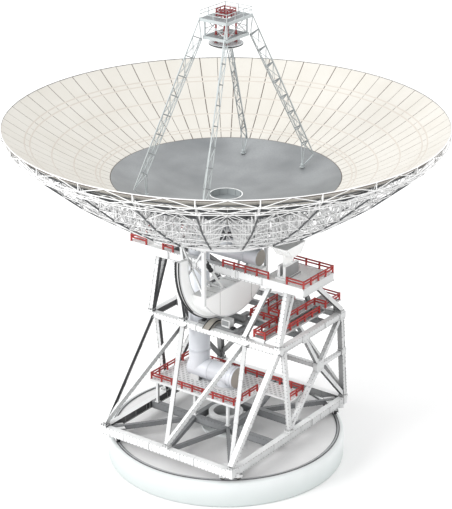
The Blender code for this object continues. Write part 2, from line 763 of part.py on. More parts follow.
def build_drum(carrier):
    """Ballast drum with upright ends, beside the gear ring."""
    outline = []
    low_corner = AXIS_Z - math.sqrt(DRUM_RADIUS ** 2 - DRUM_REACH ** 2)
    outline.append((-DRUM_REACH, DRUM_TOP))
    outline.append((-DRUM_REACH, low_corner))
    for y, z in circle_outline(DRUM_RADIUS, DRUM_TOP, 24):
        if abs(y) < DRUM_REACH - 0.3:
            outline.append((y, z))
    outline.append((DRUM_REACH, low_corner))
    outline.append((DRUM_REACH, DRUM_TOP))
    shapes = [
        slab(outline, *DRUM_X),
        lambda bm: add_ring_sector(bm, GEAR_INNER, GEAR_RADIUS, GEAR_TOP, *GEAR_X, 36),
    ]
    fused("counterweight_drum", WHITE, carrier, shapes)


def box_across(side, near, far, half_y, low, high):
    """A box on one side of the middle plane, mirrored by the sign of side."""
    ends = sorted((side * near, side * far))
    return box((ends[0], -half_y, low), (ends[1], half_y, high))


def build_tipping_frame(carrier):
    """Frames from the hub down to the drum, the bearing arms and the tube on the axis."""
    low = DRUM_TOP + SEAT
    high = HUB_LOW - SEAT
    right = DRUM_X[1] - 0.25
    web = GEAR_X[0] - SEAT
    left = web - 0.25
    for side, name in ((-1, "front"), (1, "back")):
        y = side * (DRUM_REACH + SEAT + 0.25)
        plate = sorted((y - 0.5, y + 0.5))
        shapes = [
            bar((right, y, DRUM_TOP - 1.2), (right, y, high - 0.1), 0.5),
            bar((left, y, 30.2), (-2.3, y, high - 0.2), 0.42),
            box((web - 0.3, plate[0], 29.3), (web, plate[1], 30.8)),
            bar((left, y, 30.5), (right, y, high - 0.3), 0.3),
            bar((-2.2, y, high - 0.3), (right, y, low + 0.3), 0.3),
            box((-2.6, y - 0.3, high - 0.5), (2.3, y + 0.3, high)),
        ]
        for x, top_x in ((DRUM_X[0] + 0.35, -2.1), (right, right)):
            foot_y = side * STRUT_FOOT_Y
            shapes.append(bar((x, foot_y, low + 0.2), (top_x, y, high - 1.6), 0.34))
            shapes.append(box((x - 0.3, foot_y - 0.5, low), (x + 0.3, foot_y + 0.5, low + 0.45)))
        tie = ((DRUM_X[0] + 0.35, side * STRUT_FOOT_Y, low + 0.25), (right, side * STRUT_FOOT_Y, low + 0.25))
        shapes.append(bar(*tie, 0.3))
        fused(name + "_drum_frame", WHITE, carrier, shapes)

    wedge = [(-1.1, 34.9), (1.1, 34.9), (2.4, high + 0.45), (-2.4, high + 0.45)]
    tongue = [(TONGUE_RADIUS, 35.1), (-TONGUE_RADIUS, 35.1)]
    for step in range(13):
        angle = math.pi * (1.0 + step / 12)
        tongue.append((TONGUE_RADIUS * math.cos(angle), AXIS_Z + TONGUE_RADIUS * math.sin(angle)))
    for side, name in ((-1, "left"), (1, "right")):
        middle = side * (HOUSING_X[0] + HOUSING_X[1]) / 2
        ends = sorted((side * ARM_X[0], side * ARM_X[1]))
        shapes = [
            box_across(side, 7.9, ARM_X[0] + 0.1, 0.55, high - 0.6, high),
            slab(wedge, *ends),
            slab(tongue, middle - TONGUE_HALF, middle + TONGUE_HALF),
            cylinder((middle - 0.68, 0.0, AXIS_Z), (middle + 0.68, 0.0, AXIS_Z), SHAFT_RADIUS, 20),
        ]
        fused(name + "_bearing_arm", WHITE, carrier, shapes)

    tube = [
        cylinder((-2.9, 0.0, AXIS_Z), (6.0, 0.0, AXIS_Z), UPPER_TUBE_RADIUS, 16),
        cylinder((3.6, 0.0, AXIS_Z), (3.9, 0.0, AXIS_Z), UPPER_TUBE_RADIUS + 0.1, 16),
        cylinder((4.6, 0.0, AXIS_Z), (6.2, 0.0, AXIS_Z), UPPER_TUBE_RADIUS + 0.08, 16),
        cylinder((0.0, 0.0, AXIS_Z), (0.0, 0.0, surface(0.0) - 0.95 - SEAT), UPPER_TUBE_RADIUS + 0.05, 16),
    ]
    fused("elevation_tube", PIPE_BLUE, carrier, tube)

    shapes = []
    z = HUB_LOW + 0.35
    half = 0.25
    reach = polygon_reach(HUB_RADIUS - 0.35, RIBS, 2.1 + half) - SEAT
    for offset in (-2.1, 2.1):
        shapes.append(bar((-reach, offset, z), (reach, offset, z), 2.0 * half, 0.6))
        shapes.append(bar((offset, -reach, z), (offset, reach, z), 2.0 * half, 0.56))
    bore = [cylinder((0.0, 0.0, z - 2.0), (0.0, 0.0, z + 2.0), UPPER_TUBE_RADIUS + 0.05 + SEAT, 24)]
    fused("hub_cross_frame", WHITE, carrier, shapes, bore)


def ring_wall(name, look, carrier, radii, heights, sides, cuts):
    """A polygonal ring wall with openings cut through it."""
    inner, outer = radii
    low, high = heights
    bm = bmesh.new()
    for draw in cuts:
        draw(bm)
    made = turned(name, look, carrier, ((inner, high), (outer, high), (outer, low), (inner, low)), sides)
    cut = made.modifiers.new("openings", "BOOLEAN")
    cut.operation = "DIFFERENCE"
    cut.solver = "EXACT"
    cut.object = helper(name + "_openings", bm)
    return made


def wall_opening(corners, degrees, reach, radius):
    """Cutter through a ring wall: (u, v) corners, with u along the wall and v up."""
    angle = math.radians(degrees)
    out = Vector((math.cos(angle), math.sin(angle), 0.0))
    along = Vector((-math.sin(angle), math.cos(angle), 0.0))
    plane = Matrix((along, Vector((0.0, 0.0, 1.0)), out)).transposed().to_4x4()
    plane.translation = out * radius * MODEL_SCALE
    return lambda bm: add_plate(bm, corners, (), plane, reach)


def build_hub(carrier):
    """Ring girder in the middle of the dish's back."""
    r = HUB_RADIUS
    top = surface(r) - 1.2
    half = math.pi * r / RIBS
    low_edge = HUB_LOW + 0.7
    high_edge = top - 0.3
    side = half - 0.3
    window = ((-side, low_edge), (side, low_edge), (side, high_edge), (-side, high_edge))
    cuts = [wall_opening(window, 360.0 * step / RIBS, 2.0, r) for step in range(RIBS)]
    ring_wall("hub_ring", WHITE, carrier, (r - 0.35, r + 0.35), (HUB_LOW, top), RIBS, cuts)


def lower_chord(radius):
    """Height of the backing frame's lower chord."""
    points = ((HUB_RADIUS, HUB_LOW + 0.7), (16.0, 39.2), (24.0, 44.4), (RIM_RADIUS, RIM_LOW + 0.1))
    for (r0, z0), (r1, z1) in zip(points, points[1:]):
        if radius <= r1:
            return z0 + (z1 - z0) * (radius - r0) / (r1 - r0)
    return points[-1][1]


def upper_chord(radius):
    return surface(radius) - 0.75


def build_backing(carrier):
    """Radial truss ribs behind the reflector, tied by ring bars, in four quarters."""
    start = (HUB_RADIUS + 0.35) * math.cos(math.pi / RIBS) + SEAT
    end = RIM_INNER * math.cos(math.pi / RIBS) - SEAT
    stations = (start + 0.12, 15.5, 23.5, end - 0.12)
    per_quarter = RIBS // 4
    spacing = 360.0 / RIBS
    names = ("back_right", "back_left", "front_left", "front_right")
    half = 0.15
    upper = [(r, upper_chord(r)) for r in stations]
    lower = [(r, lower_chord(r)) for r in stations]
    bends = skin_rings(FEED_RADIUS, DISC_RADIUS)[2:] + skin_rings(DISC_RADIUS, RIM_RADIUS)[1:-1]
    top_edge = [(r, skin_seat(r)) for r in (start, *bends, end)]
    low_edge = [(start, lower[0][1] - half)]
    low_edge += [(r, z - half) for r, z in lower[1:-1]]
    low_edge.append((end, lower[-1][1] - half))
    outline = top_edge + low_edge[::-1]
    holes = truss_holes(upper, lower, half)
    for quarter in range(4):
        angles = [spacing * (quarter * per_quarter + step + 0.5) for step in range(per_quarter)]
        shapes = []
        for first, second in zip(angles, angles[1:]):
            for r in stations[1:-1]:
                shapes.append(bar(polar(r, first, lower_chord(r)), polar(r, second, lower_chord(r)), 0.22))
        for angle in angles:
            plane = radial_plane(angle)
            shapes.append(lambda bm, plane=plane: add_plate(bm, outline, holes, plane, 2.0 * half))
        fused("backing_" + names[quarter], WHITE, carrier, shapes)


def build_rim(carrier):
    """Open truss that ties the ends of the ribs together."""
    inner, outer, low = RIM_INNER, RIM_OUTER, RIM_LOW
    top = skin_seat(inner * math.cos(math.pi / RIBS))
    half = math.pi * (outer + inner) / 2 / RIBS
    corners = ((-half, low + 0.13), (half, low + 0.13), (half, top - 0.13), (-half, top - 0.13))
    cuts = []
    for step in range(RIBS):
        order = (0, 1, 2), (0, 2, 3)
        if step % 2:
            order = (0, 1, 3), (1, 2, 3)
        for picked in order:
            hole = inset([corners[number] for number in picked], 0.13)
            cuts.append(wall_opening(hole, 360.0 * step / RIBS, 1.2, (inner + outer) / 2))
    ring_wall("rim_truss", WHITE, carrier, (inner, outer), (low, top), RIBS, cuts)


def build_reflector(carrier):
    def skin(inner, outer):
        radii = skin_rings(inner, outer)
        over = [(r, surface(r)) for r in radii]
        under = [(r, surface(r) - SKIN) for r in reversed(radii)]
        return over + under

    turned("outer_reflector", CREAM, carrier, skin(DISC_RADIUS + SEAT, RIM_RADIUS), SKIN_SIDES)
    turned("inner_reflector", GREY_PANEL, carrier, skin(FEED_RADIUS + SEAT, DISC_RADIUS), SKIN_SIDES)
    low = surface(0.0) - 0.95
    top = surface(0.0) + 0.85
    side = FEED_RADIUS
    drum = ((0.0, top), (side - 0.1, top), (side, top - 0.1), (side, low), (0.0, low))
    turned("vertex_drum", WHITE, carrier, drum, 48, closed=False)


def build_feed_legs(carrier):
    """Four tapering lattice legs from the grey disc to the apex."""
    reach = math.hypot(*FOOT)
    bays = 8
    bar_half = 0.12
    pad = 0.45
    foot_r = reach + 0.3
    corner = math.hypot(FOOT[0] * foot_r / reach + pad, FOOT[1] * foot_r / reach + pad)
    foot = (foot_r, skin_top(corner / math.cos(math.pi / SKIN_SIDES)) + SEAT)
    outer_foot, inner_foot = (14.9, 45.0), (13.0, 47.0)
    tip_z = APEX_TOP - APEX_PLATE - SEAT
    outer_top, inner_top = (3.6, tip_z - 0.3), (3.75, APEX_LOW - 0.5)
    outer = [between(outer_foot, outer_top, step / bays) for step in range(bays + 1)]
    inner = [between(inner_foot, inner_top, step / bays) for step in range(bays + 1)]
    holes = truss_holes(outer, inner, bar_half)
    base_hole = inset((foot, outer_foot, inner_foot), bar_half)
    corners = (
        (1, 1, "back_right"),
        (-1, 1, "back_left"),
        (-1, -1, "front_left"),
        (1, -1, "front_right"),
    )
    for x_side, y_side, name in corners:
        foot_angle = math.atan2(y_side * FOOT[1], x_side * FOOT[0])
        apex_angle = math.atan2(y_side * APEX_Y, x_side * APEX_X)
        toe = Vector(polar(foot[0], math.degrees(foot_angle), foot[1]))
        tip = Vector(polar(outer_top[0], math.degrees(apex_angle), outer_top[1]))
        plane = leg_plane(toe, tip, foot, outer_top)
        outline = [
            (foot[0] - bar_half, foot[1]),
            (foot[0] + bar_half, foot[1]),
            (outer_foot[0] + bar_half, outer_foot[1]),
            (outer_top[0] + bar_half, tip_z),
            (outer_top[0] - bar_half, tip_z),
            (inner_top[0] - bar_half, inner_top[1]),
            (inner_foot[0] - bar_half, inner_foot[1]),
        ]
        every = [*holes, base_hole] if base_hole else holes
        shapes = [
            box(toe - Vector((pad, pad, 0.0)), toe + Vector((pad, pad, 0.3))),
            lambda bm, plane=plane, outline=outline, every=every: add_plate(bm, outline, every, plane, 0.5),
        ]
        fused("feed_leg_" + name, WHITE, carrier, shapes)


def leg_plane(toe, tip, foot, top):
    """Upright plane through a leg's foot and tip, with u outwards from the dish's axis."""
    run = Vector((toe.x - tip.x, toe.y - tip.y, 0.0))
    out = run.normalized()
    up = Vector((0.0, 0.0, 1.0))
    stretch = run.length / (foot[0] - top[0])
    turn = Matrix((out * stretch, up, out.cross(up))).transposed().to_4x4()
    turn.translation = (toe - out * stretch * foot[0] - up * foot[1]) * MODEL_SCALE
    return turn


def build_apex(carrier):
    shapes = []
    for top, half_x, half_y in ((APEX_TOP, APEX_X, APEX_Y), (APEX_LOW, APEX_X - 0.3, APEX_Y - 0.5)):
        shapes.append(box((-half_x, -half_y, top - APEX_PLATE), (half_x, half_y, top)))
    for x in (-1.9, 1.9):
        for y in (-2.4, 2.4):
            shapes.append(bar((x, y, APEX_LOW - 0.1), (x, y, APEX_TOP - 0.1), 0.24))
            shapes.append(bar((x, y, APEX_LOW), (-x, y + 0.01, APEX_TOP - 0.1), 0.14))
    fused("apex_frame", WHITE, carrier, shapes)
    rails_z = APEX_TOP
    reach_x = APEX_X - 0.1
    reach_y = APEX_Y - 0.1
    path = [
        (-reach_x, -reach_y, rails_z),
        (reach_x, -reach_y, rails_z),
        (reach_x, reach_y, rails_z),
        (-reach_x, reach_y, rails_z),
    ]
    railing("apex_rails", carrier, path, closed=True)
    cage = [(-1.1, -1.1, rails_z), (1.1, -1.1, rails_z), (1.1, 1.1, rails_z), (-1.1, 1.1, rails_z)]
    railing("apex_cage", carrier, cage, height=1.8, closed=True)
    low = APEX_LOW - 1.1
    shapes = []
    under = APEX_LOW - APEX_PLATE - SEAT
    for x in (-1.0, 1.0):
        for y in (-1.0, 1.0):
            shapes.append(bar((x, y, low), (x, y, under), 0.2))
    for z in (under - 0.2, low + 0.25):
        for side in (-1.0, 1.0):
            shapes.append(bar((-1.0, side, z), (1.0, side, z), 0.15))
            shapes.append(bar((side, -1.0, z), (side, 1.0, z), 0.15))
    fused("subreflector_posts", RED, carrier, shapes)
    top = low - SEAT
    rim = SUBREFLECTOR_RADIUS
    dish = (
        (0.0, top),
        (rim, top),
        (rim, top - 0.2),
        (rim * 0.7, top - 0.62),
        (rim * 0.35, top - 0.88),
        (0.0, top - 0.97),
    )
    turned("subreflector", GREY_PANEL, carrier, dish, 24, closed=False)


clear_scene()
PARTS = make_collection("radio_telescope_dish")
HELPERS = make_collection("cutters")
azimuth = pivot("azimuth_axis", (0.0, 0.0, PAD_TOP))
elevation = pivot("elevation_axis", (0.0, 0.0, AXIS_Z), azimuth)
build_foundation()
build_bogies(azimuth)
build_base_frame(azimuth)
build_side_frames(azimuth)
build_mid_floor(azimuth)
build_towers(azimuth)
build_lower_deck(azimuth)
build_beam_pipes(azimuth)
build_drum(elevation)
build_tipping_frame(elevation)
build_hub(elevation)
build_backing(elevation)
build_rim(elevation)
build_reflector(elevation)
build_feed_legs(elevation)
build_apex(elevation)
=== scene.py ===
"""The look of the radio telescope dish, a 1:2 model.

Lengths are those of the real structure, in metres; make() scales them by S.
"""

import math

import bpy
from mathutils import Matrix, Vector


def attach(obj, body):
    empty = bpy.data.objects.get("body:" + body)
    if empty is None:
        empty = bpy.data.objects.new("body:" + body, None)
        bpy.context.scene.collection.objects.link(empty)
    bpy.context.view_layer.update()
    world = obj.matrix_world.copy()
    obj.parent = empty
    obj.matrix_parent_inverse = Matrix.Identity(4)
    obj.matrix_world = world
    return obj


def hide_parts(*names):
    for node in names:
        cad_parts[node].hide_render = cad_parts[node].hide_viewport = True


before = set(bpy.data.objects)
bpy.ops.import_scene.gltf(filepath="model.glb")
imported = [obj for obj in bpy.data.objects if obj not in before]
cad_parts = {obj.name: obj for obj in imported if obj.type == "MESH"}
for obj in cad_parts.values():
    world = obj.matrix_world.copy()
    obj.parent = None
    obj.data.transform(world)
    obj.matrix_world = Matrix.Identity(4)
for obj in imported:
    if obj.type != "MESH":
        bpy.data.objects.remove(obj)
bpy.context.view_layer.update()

S = 0.5
UP = Vector((0.0, 0.0, 1.0))
RIGHT = Vector((1.0, 0.0, 0.0))
ACROSS = Vector((0.0, 1.0, 0.0))
SIDES = ((-1, "left"), (1, "right"))
QUARTERS = (("back_right", 1, 1), ("back_left", -1, 1), ("front_left", -1, -1), ("front_right", 1, -1))

# Foundation and base frame
PAD_TOP = 4.0
PAD_RADIUS = 17.86
TRACK_RADIUS = 17.0
BASE_X = 11.6
BASE_Y = 14.64
BASE_TOP = 6.56
BEAM_FOOT = BASE_TOP + 0.45
COLUMN = 0.8

# Level of the drives, and the knee of the side faces
MID_Z = 20.75
MID_DEPTH = 0.95
MID_TOP = MID_Z + MID_DEPTH / 2.0
MID_FRONT_Y = -3.05
MID_BACK_Y = 13.3
MID_NODE_X = 5.7
KNEE_Y = 7.56
KNEE_Z = 14.4
FLOOR_BEAM_Y = (3.4, 9.4)

# Decks and head platforms
DECK_Z = 10.9
DRIVE_DECK_TOP = 21.9
UPPER_DECK_TOP = 22.85
HEAD_LOW = 30.2
HEAD_TOP = 31.5
HEAD_X = (8.5, 15.7)
HEAD_Y = (-2.9, 4.9)
RAIL_HEIGHT = 1.15

# Elevation axis, its bearings, the drum and the gear ring
AXIS_Z = 33.04
HOUSING_X = (10.3, 11.7)
ARM_X = (9.7, 12.4)
DRUM_RADIUS = 9.75
DRUM_TOP = 28.2
DRUM_X = (-0.7, 2.0)
DRUM_REACH = 7.5
GEAR_X = (-1.3, -0.5)
GEAR_INNER = 8.4
GEAR_RADIUS = 10.73
GEAR_TOP = 34.1

# Dish: a paraboloid with its vertex at VERTEX_Z
HUB_LOW = 36.0
HUB_RADIUS = 8.4
RIM_RADIUS = 32.0
DISC_RADIUS = 16.6
VERTEX_Z = 41.49
WELL_RADIUS = 2.4
FOUR_FOCAL = 91.6
TURN = -0.9
RIB_STEP = 15.0
SEAM_TURN = 3.7
SEAM_RADII = (16.62, 18.1, 18.7, 21.75, 24.85, 27.9, 28.65, 31.98)
STATIONS = (8.75, 10.7, 12.7, 14.7, 16.7, 19.2, 21.75, 24.85, 27.9, 30.95)

# Feed legs and apex
FOOT = (5.2, 11.4)
APEX_X = 2.4
APEX_Y = 3.1
APEX_TOP = 68.0
APEX_LOW = 65.4

# Beam pipes
PIPE_X = -4.96
PIPE_RADIUS = 1.6
LOWER_PIPE_Z = 12.6


def surface(radius):
    return VERTEX_Z + radius * radius / FOUR_FOCAL


def polar(radius, degrees, z=0.0):
    angle = math.radians(degrees)
    return Vector((radius * math.cos(angle), radius * math.sin(angle), z))


def post_angle(step):
    """Direction of one of the 24 main ribs."""
    return TURN + RIB_STEP * step


# Geometry

# Look number of bolts, their spacing, and the steps of a large round shape
BOLT_LOOK = 9
BOLT_SPACING = 0.62
ROUND = 192


def rectangle(u, v, chamfer=0.0):
    if chamfer <= 0.0:
        return [(-u, -v), (-u, v), (u, v), (u, -v)]
    a, b = u - chamfer, v - chamfer
    return [(-u, -b), (-u, b), (-a, v), (a, v), (u, b), (u, -b), (a, -v), (-a, -v)]


def around(x, y):
    """Corners of a rectangle in the plan, about the middle."""
    return [(-x, -y), (x, -y), (x, y), (-x, y)]


def circle(radius, sides):
    angles = [-2.0 * math.pi * side / sides for side in range(sides)]
    return [(radius * math.cos(angle), radius * math.sin(angle)) for angle in angles]


def side_faces(count):
    """Faces between two loops of points that follow one another."""
    return [(n, (n + 1) % count, (n + 1) % count + count, n + count) for n in range(count)]


def line_frame(start, end, up):
    """Both ends of a straight member, its direction, its side and its upper direction."""
    start, end, up = Vector(start), Vector(end), Vector(up)
    along = (end - start).normalized()
    if abs(along.dot(up.normalized())) > 0.99:
        up = ACROSS
    side = along.cross(up).normalized()
    return start, end, along, side, side.cross(along)


class Shape:
    """Collects the faces of one mesh."""

    def __init__(self):
        self.points, self.faces, self.smooth, self.looks = [], [], [], []

    def add(self, points, faces, smooth=False, look=0):
        start = len(self.points)
        self.points.extend(tuple(point) for point in points)
        self.faces.extend([start + number for number in face] for face in faces)
        self.smooth.extend([smooth] * len(faces))
        self.looks.extend([look] * len(faces))

    def solid(self, points, look=0):
        """A solid between two loops of points that follow one another."""
        count = len(points) // 2
        caps = [tuple(reversed(range(count))), tuple(range(count, 2 * count))]
        self.add(points, side_faces(count) + caps, False, look)

    def extrude(self, outline, start, end, up=UP, smooth=False, look=0):
        """A profile of (side, up) points carried from start to end."""
        start, end, _, side, over = line_frame(start, end, up)
        count = len(outline)
        points = [centre + side * u + over * v for centre in (start, end) for u, v in outline]
        self.add(points, side_faces(count), smooth, look)
        self.add(points[:count], [tuple(reversed(range(count)))], False, look)
        self.add(points[count:], [tuple(range(count))], False, look)

    def bar(self, start, end, width, depth=None, up=UP, chamfer=0.0, look=0):
        self.extrude(rectangle(width / 2.0, (depth or width) / 2.0, chamfer), start, end, up, False, look)

    def girder(self, start, end, width, depth=None, up=UP, look=0, sleeves=True):
        """Box girder: two flange plates that stand proud of the webs, with splice sleeves on long ones."""
        start, end = Vector(start), Vector(end)
        depth = depth or width
        u, v = width / 2.0, depth / 2.0
        lip, deep = v * 0.2, u * 0.14
        half = [(-u, -v), (-u, lip - v), (deep - u, lip - v), (deep - u, v - lip), (-u, v - lip), (-u, v)]
        self.extrude(half + [(-side, -over) for side, over in half], start, end, up, False, look)
        length = (end - start).length
        if sleeves and length > 7.0:
            for share in (0.36, 0.7):
                middle, reach = start.lerp(end, share), (end - start) * (0.35 / length)
                self.bar(middle - reach, middle + reach, width + 0.05, depth + 0.05, up, 0.03, look)
        if width > 0.5 and length > 3.0:
            self.bolt_rows(start, end, u, v - lip / 2.0, up)

    def bolt_rows(self, start, end, u, v, up):
        """Bolt heads along both flanges of a girder, on its two sides."""
        start, end, along, side, over = line_frame(start, end, up)
        run = (end - start).length - 1.0
        count = int(run / BOLT_SPACING)
        head = circle(0.055, 6)
        for step in range(count + 1):
            spot = start + along * (0.5 + run * step / max(count, 1))
            for across in (-1.0, 1.0):
                for flange in (-v, v):
                    foot = spot + side * (across * (u - 0.005)) + over * flange
                    self.extrude(head, foot, foot + side * (across * 0.04), along, False, BOLT_LOOK)

    def gusset(self, centre, u, v, size, thickness):
        """Eight-sided plate around a joint, in the plane of u and v, with bolts on both faces."""
        wide, tall = size
        half = thickness / 2.0
        a, b = wide * 0.55, tall * 0.55
        outline = [(-wide, -b), (-a, -tall), (a, -tall), (wide, -b)]
        outline += [(-x, -y) for x, y in outline]
        u = Vector(u).normalized()
        w = u.cross(Vector(v)).normalized()
        plane = Matrix((u, w.cross(u), w)).transposed().to_4x4()
        plane.translation = Vector(centre)
        self.solid([plane @ Vector((x, y, z)) for z in (-half, half) for x, y in outline])
        for x in (-0.72, -0.3, 0.3, 0.72):
            for y in (-0.6, 0.6):
                for face in (-1.0, 1.0):
                    ends = [plane @ Vector((x * wide, y * tall, face * z)) for z in (half, half + 0.04)]
                    self.extrude(circle(0.06, 6), *ends)

    def tube(self, start, end, radius, sides=12, look=0):
        self.extrude(circle(radius, sides), start, end, UP, True, look)

    def pipe(self, start, end, radius, look=0):
        self.tube(start, end, radius, 64, look)

    def box(self, low, high, chamfer=0.0, look=0):
        low, high = Vector(low), Vector(high)
        x, y, _ = (low + high) / 2.0
        self.bar((x, y, low.z), (x, y, high.z), high.x - low.x, high.y - low.y, ACROSS, chamfer, look)

    def block(self, x, y, half_x, half_y, low, high, chamfer=0.0, look=0):
        """Upright box about a point of the plan."""
        self.box((x - half_x, y - half_y, low), (x + half_x, y + half_y, high), chamfer, look)

    def slab(self, outline, low_x, high_x, look=0):
        """A (y, z) outline carried along x."""
        self.solid([(x, y, z) for x in (low_x, high_x) for y, z in outline], look)

    def turned(self, profile, steps, closed=True, smooth=True, look=0):
        """A profile of (radius, z) points turned about the z axis; it runs the outer side top to bottom."""
        count = len(profile)
        points = []
        for step in range(steps):
            angle = 2.0 * math.pi * step / steps
            points += [(r * math.cos(angle), r * math.sin(angle), z) for r, z in profile]
        faces = []
        for step in range(steps):
            near, far = step * count, (step + 1) % steps * count
            for n in range(count if closed else count - 1):
                other = (n + 1) % count
                faces.append((near + n, near + other, far + other, far + n))
        self.add(points, faces, smooth, look)

    def ring(self, inner, outer, low, high, steps=ROUND, look=0):
        self.turned([(outer, high), (inner, high), (inner, low), (outer, low)], steps, look=look)

    def sheet(self, radii, upper, lower, look=0):
        """Bowl-shaped sheet between two depths below the surface of the dish."""
        over = [(r, surface(r) - upper) for r in radii]
        under = [(r, surface(r) - lower) for r in reversed(radii)]
        self.turned(list(reversed(over + under)), 144, look=look)


def make(shape, name, looks, body, replaced=(), sharp=35.0):
    """Turns a shape into a piece that rides on a body."""
    mesh = bpy.data.meshes.new(name)
    mesh.from_pydata([(x * S, y * S, z * S) for x, y, z in shape.points], [], shape.faces)
    mesh.polygons.foreach_set("use_smooth", shape.smooth)
    looks = list(looks)
    if BOLT_LOOK in shape.looks:
        looks.append(BOLT_STEEL)
    mesh.polygons.foreach_set("material_index", [min(look, len(looks) - 1) for look in shape.looks])
    for look in looks:
        mesh.materials.append(look)
    mesh.update()
    mesh.set_sharp_from_angle(angle=math.radians(sharp))
    piece = bpy.data.objects.new(name, mesh)
    bpy.context.scene.collection.objects.link(piece)
    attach(piece, body)
    if replaced:
        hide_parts(*replaced)


# Materials


def linear(red, green, blue):
    """Linear colour of an 8-bit screen colour."""
    values = []
    for value in (red, green, blue):
        value /= 255.0
        values.append(value / 12.92 if value <= 0.04045 else ((value + 0.055) / 1.055) ** 2.4)
    return (*values, 1.0)


def grey(value):
    return (value, value, value, 1.0)


class Paint:
    """A material whose nodes are added one by one."""

    def __init__(self, name):
        self.material = bpy.data.materials.new(name)
        self.material.use_nodes = True
        self.tree = self.material.node_tree
        self.shader = self.tree.nodes["Principled BSDF"].inputs
        self.place = self.node("TexCoord").outputs["Object"]

    def node(self, kind, inputs=(), **settings):
        """A new node with its settings; inputs are pairs of a socket and a value or another socket."""
        made = self.tree.nodes.new("ShaderNode" + kind)
        for name, value in settings.items():
            setattr(made, name, value)
        for key, value in inputs:
            self.feed(made.inputs[key], value)
        return made

    def feed(self, socket, value):
        if isinstance(value, bpy.types.NodeSocket):
            self.tree.links.new(value, socket)
        else:
            socket.default_value = value

    def noise(self, scale, detail, stretch=None):
        place = self.place
        if stretch:
            place = self.node("Mapping", (("Scale", stretch), ("Vector", place))).outputs["Vector"]
        inputs = (("Scale", scale), ("Detail", detail), ("Roughness", 0.55), ("Vector", place))
        return self.node("TexNoise", inputs).outputs["Fac"]

    def ramp(self, source, *stops):
        made = self.node("ValToRGB", (("Fac", source),))
        elements = made.color_ramp.elements
        elements[0].position, elements[0].color = stops[0]
        elements[1].position, elements[1].color = stops[-1]
        for place, colour in stops[1:-1]:
            elements.new(place).color = colour
        return made.outputs["Color"]

    def mix(self, share, first, second):
        inputs = (("Factor", share), (6, first), (7, second))
        return self.node("Mix", inputs, data_type="RGBA").outputs[2]

    def maths(self, operation, first, second, clamp=False):
        inputs = ((0, first), (1, second))
        return self.node("Math", inputs, operation=operation, use_clamp=clamp).outputs[0]

    def vectors(self, operation, first, second):
        return self.node("VectorMath", ((0, first), (1, second)), operation=operation).outputs

    def painted_shade_share(self, inward, side, under, hollow):
        """How much painted shade a spot gets: more on faces turned inwards, towards +x and down, and in
        hollows.
        """
        flat = self.vectors("MULTIPLY", self.place, (1.0, 1.0, 0.0))["Vector"]
        outwards = self.node("VectorMath", ((0, flat),), operation="NORMALIZE").outputs["Vector"]
        normal = self.node("TexCoord").outputs["Normal"]
        facing = self.vectors("DOT_PRODUCT", outwards, normal)["Value"]
        axes = self.node("SeparateXYZ", (("Vector", normal),)).outputs
        share = self.maths("MULTIPLY", facing, -inward, True)
        for value, weight in ((axes["X"], side), (axes["Z"], -under)):
            share = self.maths("ADD", share, self.maths("MULTIPLY", value, weight, True))
        # Painted shade in hollows, from ambient occlusion
        if hollow > 0.0:
            free = self.node("AmbientOcclusion", (("Distance", 1.0),), samples=6).outputs["AO"]
            closed = self.maths("SUBTRACT", 1.0, free)
            share = self.maths("ADD", share, self.maths("MULTIPLY", closed, hollow))
        return self.maths("MULTIPLY", share, 1.0, True)

    def relief(self, source, strength, distance):
        inputs = (("Strength", strength), ("Distance", distance), ("Height", source))
        self.feed(self.shader["Normal"], self.node("Bump", inputs).outputs["Normal"])

    def finish(self, colour, rough, grain, bump):
        """Links the colour, and a fine grain that sets roughness and bump."""
        self.feed(self.shader["Base Color"], colour)
        fine = self.noise(grain, 3.0)
        self.feed(self.shader["Roughness"], self.ramp(fine, (0.3, grey(rough[0])), (0.7, grey(rough[1]))))
        self.relief(fine, bump, 0.01)
        return self.material


def surface_look(
    name, clean, worn, rough=(0.35, 0.55), metallic=0.0, grain=60.0, bump=0.05, streaks=0.2, patches=0.35,
    shade_colour=None, shade_weights=(), foot_shade=None,
):
    """Painted or bare surface: two tones, rain streaks, painted shade on inward, side and lower faces and in
    hollows, and painted shade at the foot.
    """
    paint = Paint(name)
    paint.shader["Metallic"].default_value = metallic
    clean, worn = linear(*clean), linear(*worn)
    share = paint.ramp(paint.noise(0.35, 6.0), (0.38, grey(0.0)), (0.68, grey(patches)))
    colour = paint.mix(share, clean, worn)
    share = paint.ramp(paint.noise(1.0, 3.0, (3.2, 3.2, 0.22)), (0.50, grey(0.0)), (0.74, grey(streaks)))
    colour = paint.mix(share, colour, worn)
    # Painted shade: darker on faces turned inwards, towards +x and down, and in hollows
    if shade_colour:
        colour = paint.mix(paint.painted_shade_share(*shade_weights), colour, linear(*shade_colour))
    # Painted shade near the ground: darker towards the bottom
    if foot_shade:
        tone, height = foot_shade
        level = paint.node("SeparateXYZ", (("Vector", paint.place),)).outputs["Z"]
        share = paint.maths("DIVIDE", paint.maths("SUBTRACT", height, level), height, True)
        colour = paint.mix(share, colour, linear(*tone))
    return paint.finish(colour, rough, grain, bump)


def disc_look():
    """Sheet metal of the middle of the dish: soft cloudy tones, part uneven sheet and part painted
    reflection, and a fine grain.
    """
    paint = Paint("grey_disc_metal")
    paint.shader["Metallic"].default_value = 0.35
    # Large blotches: painted reflection and uneven sheet tone; they also vary the roughness
    reflection_and_roughness_blotches = paint.noise(0.16, 3.0)
    sheet_and_reflection_tones = ((0.35, linear(112, 117, 120)), (0.5, linear(136, 139, 141)), (0.68, linear(160, 163, 165)))
    colour = paint.ramp(reflection_and_roughness_blotches, *sheet_and_reflection_tones)
    fine = paint.noise(9.0, 5.0)
    colour = paint.mix(paint.ramp(fine, (0.4, grey(0.0)), (0.8, grey(0.3))), colour, linear(116, 119, 121))
    paint.feed(paint.shader["Base Color"], colour)
    paint.feed(paint.shader["Roughness"], paint.ramp(reflection_and_roughness_blotches, (0.3, grey(0.34)), (0.7, grey(0.52))))
    paint.relief(fine, 0.06, 0.02)
    return paint.material


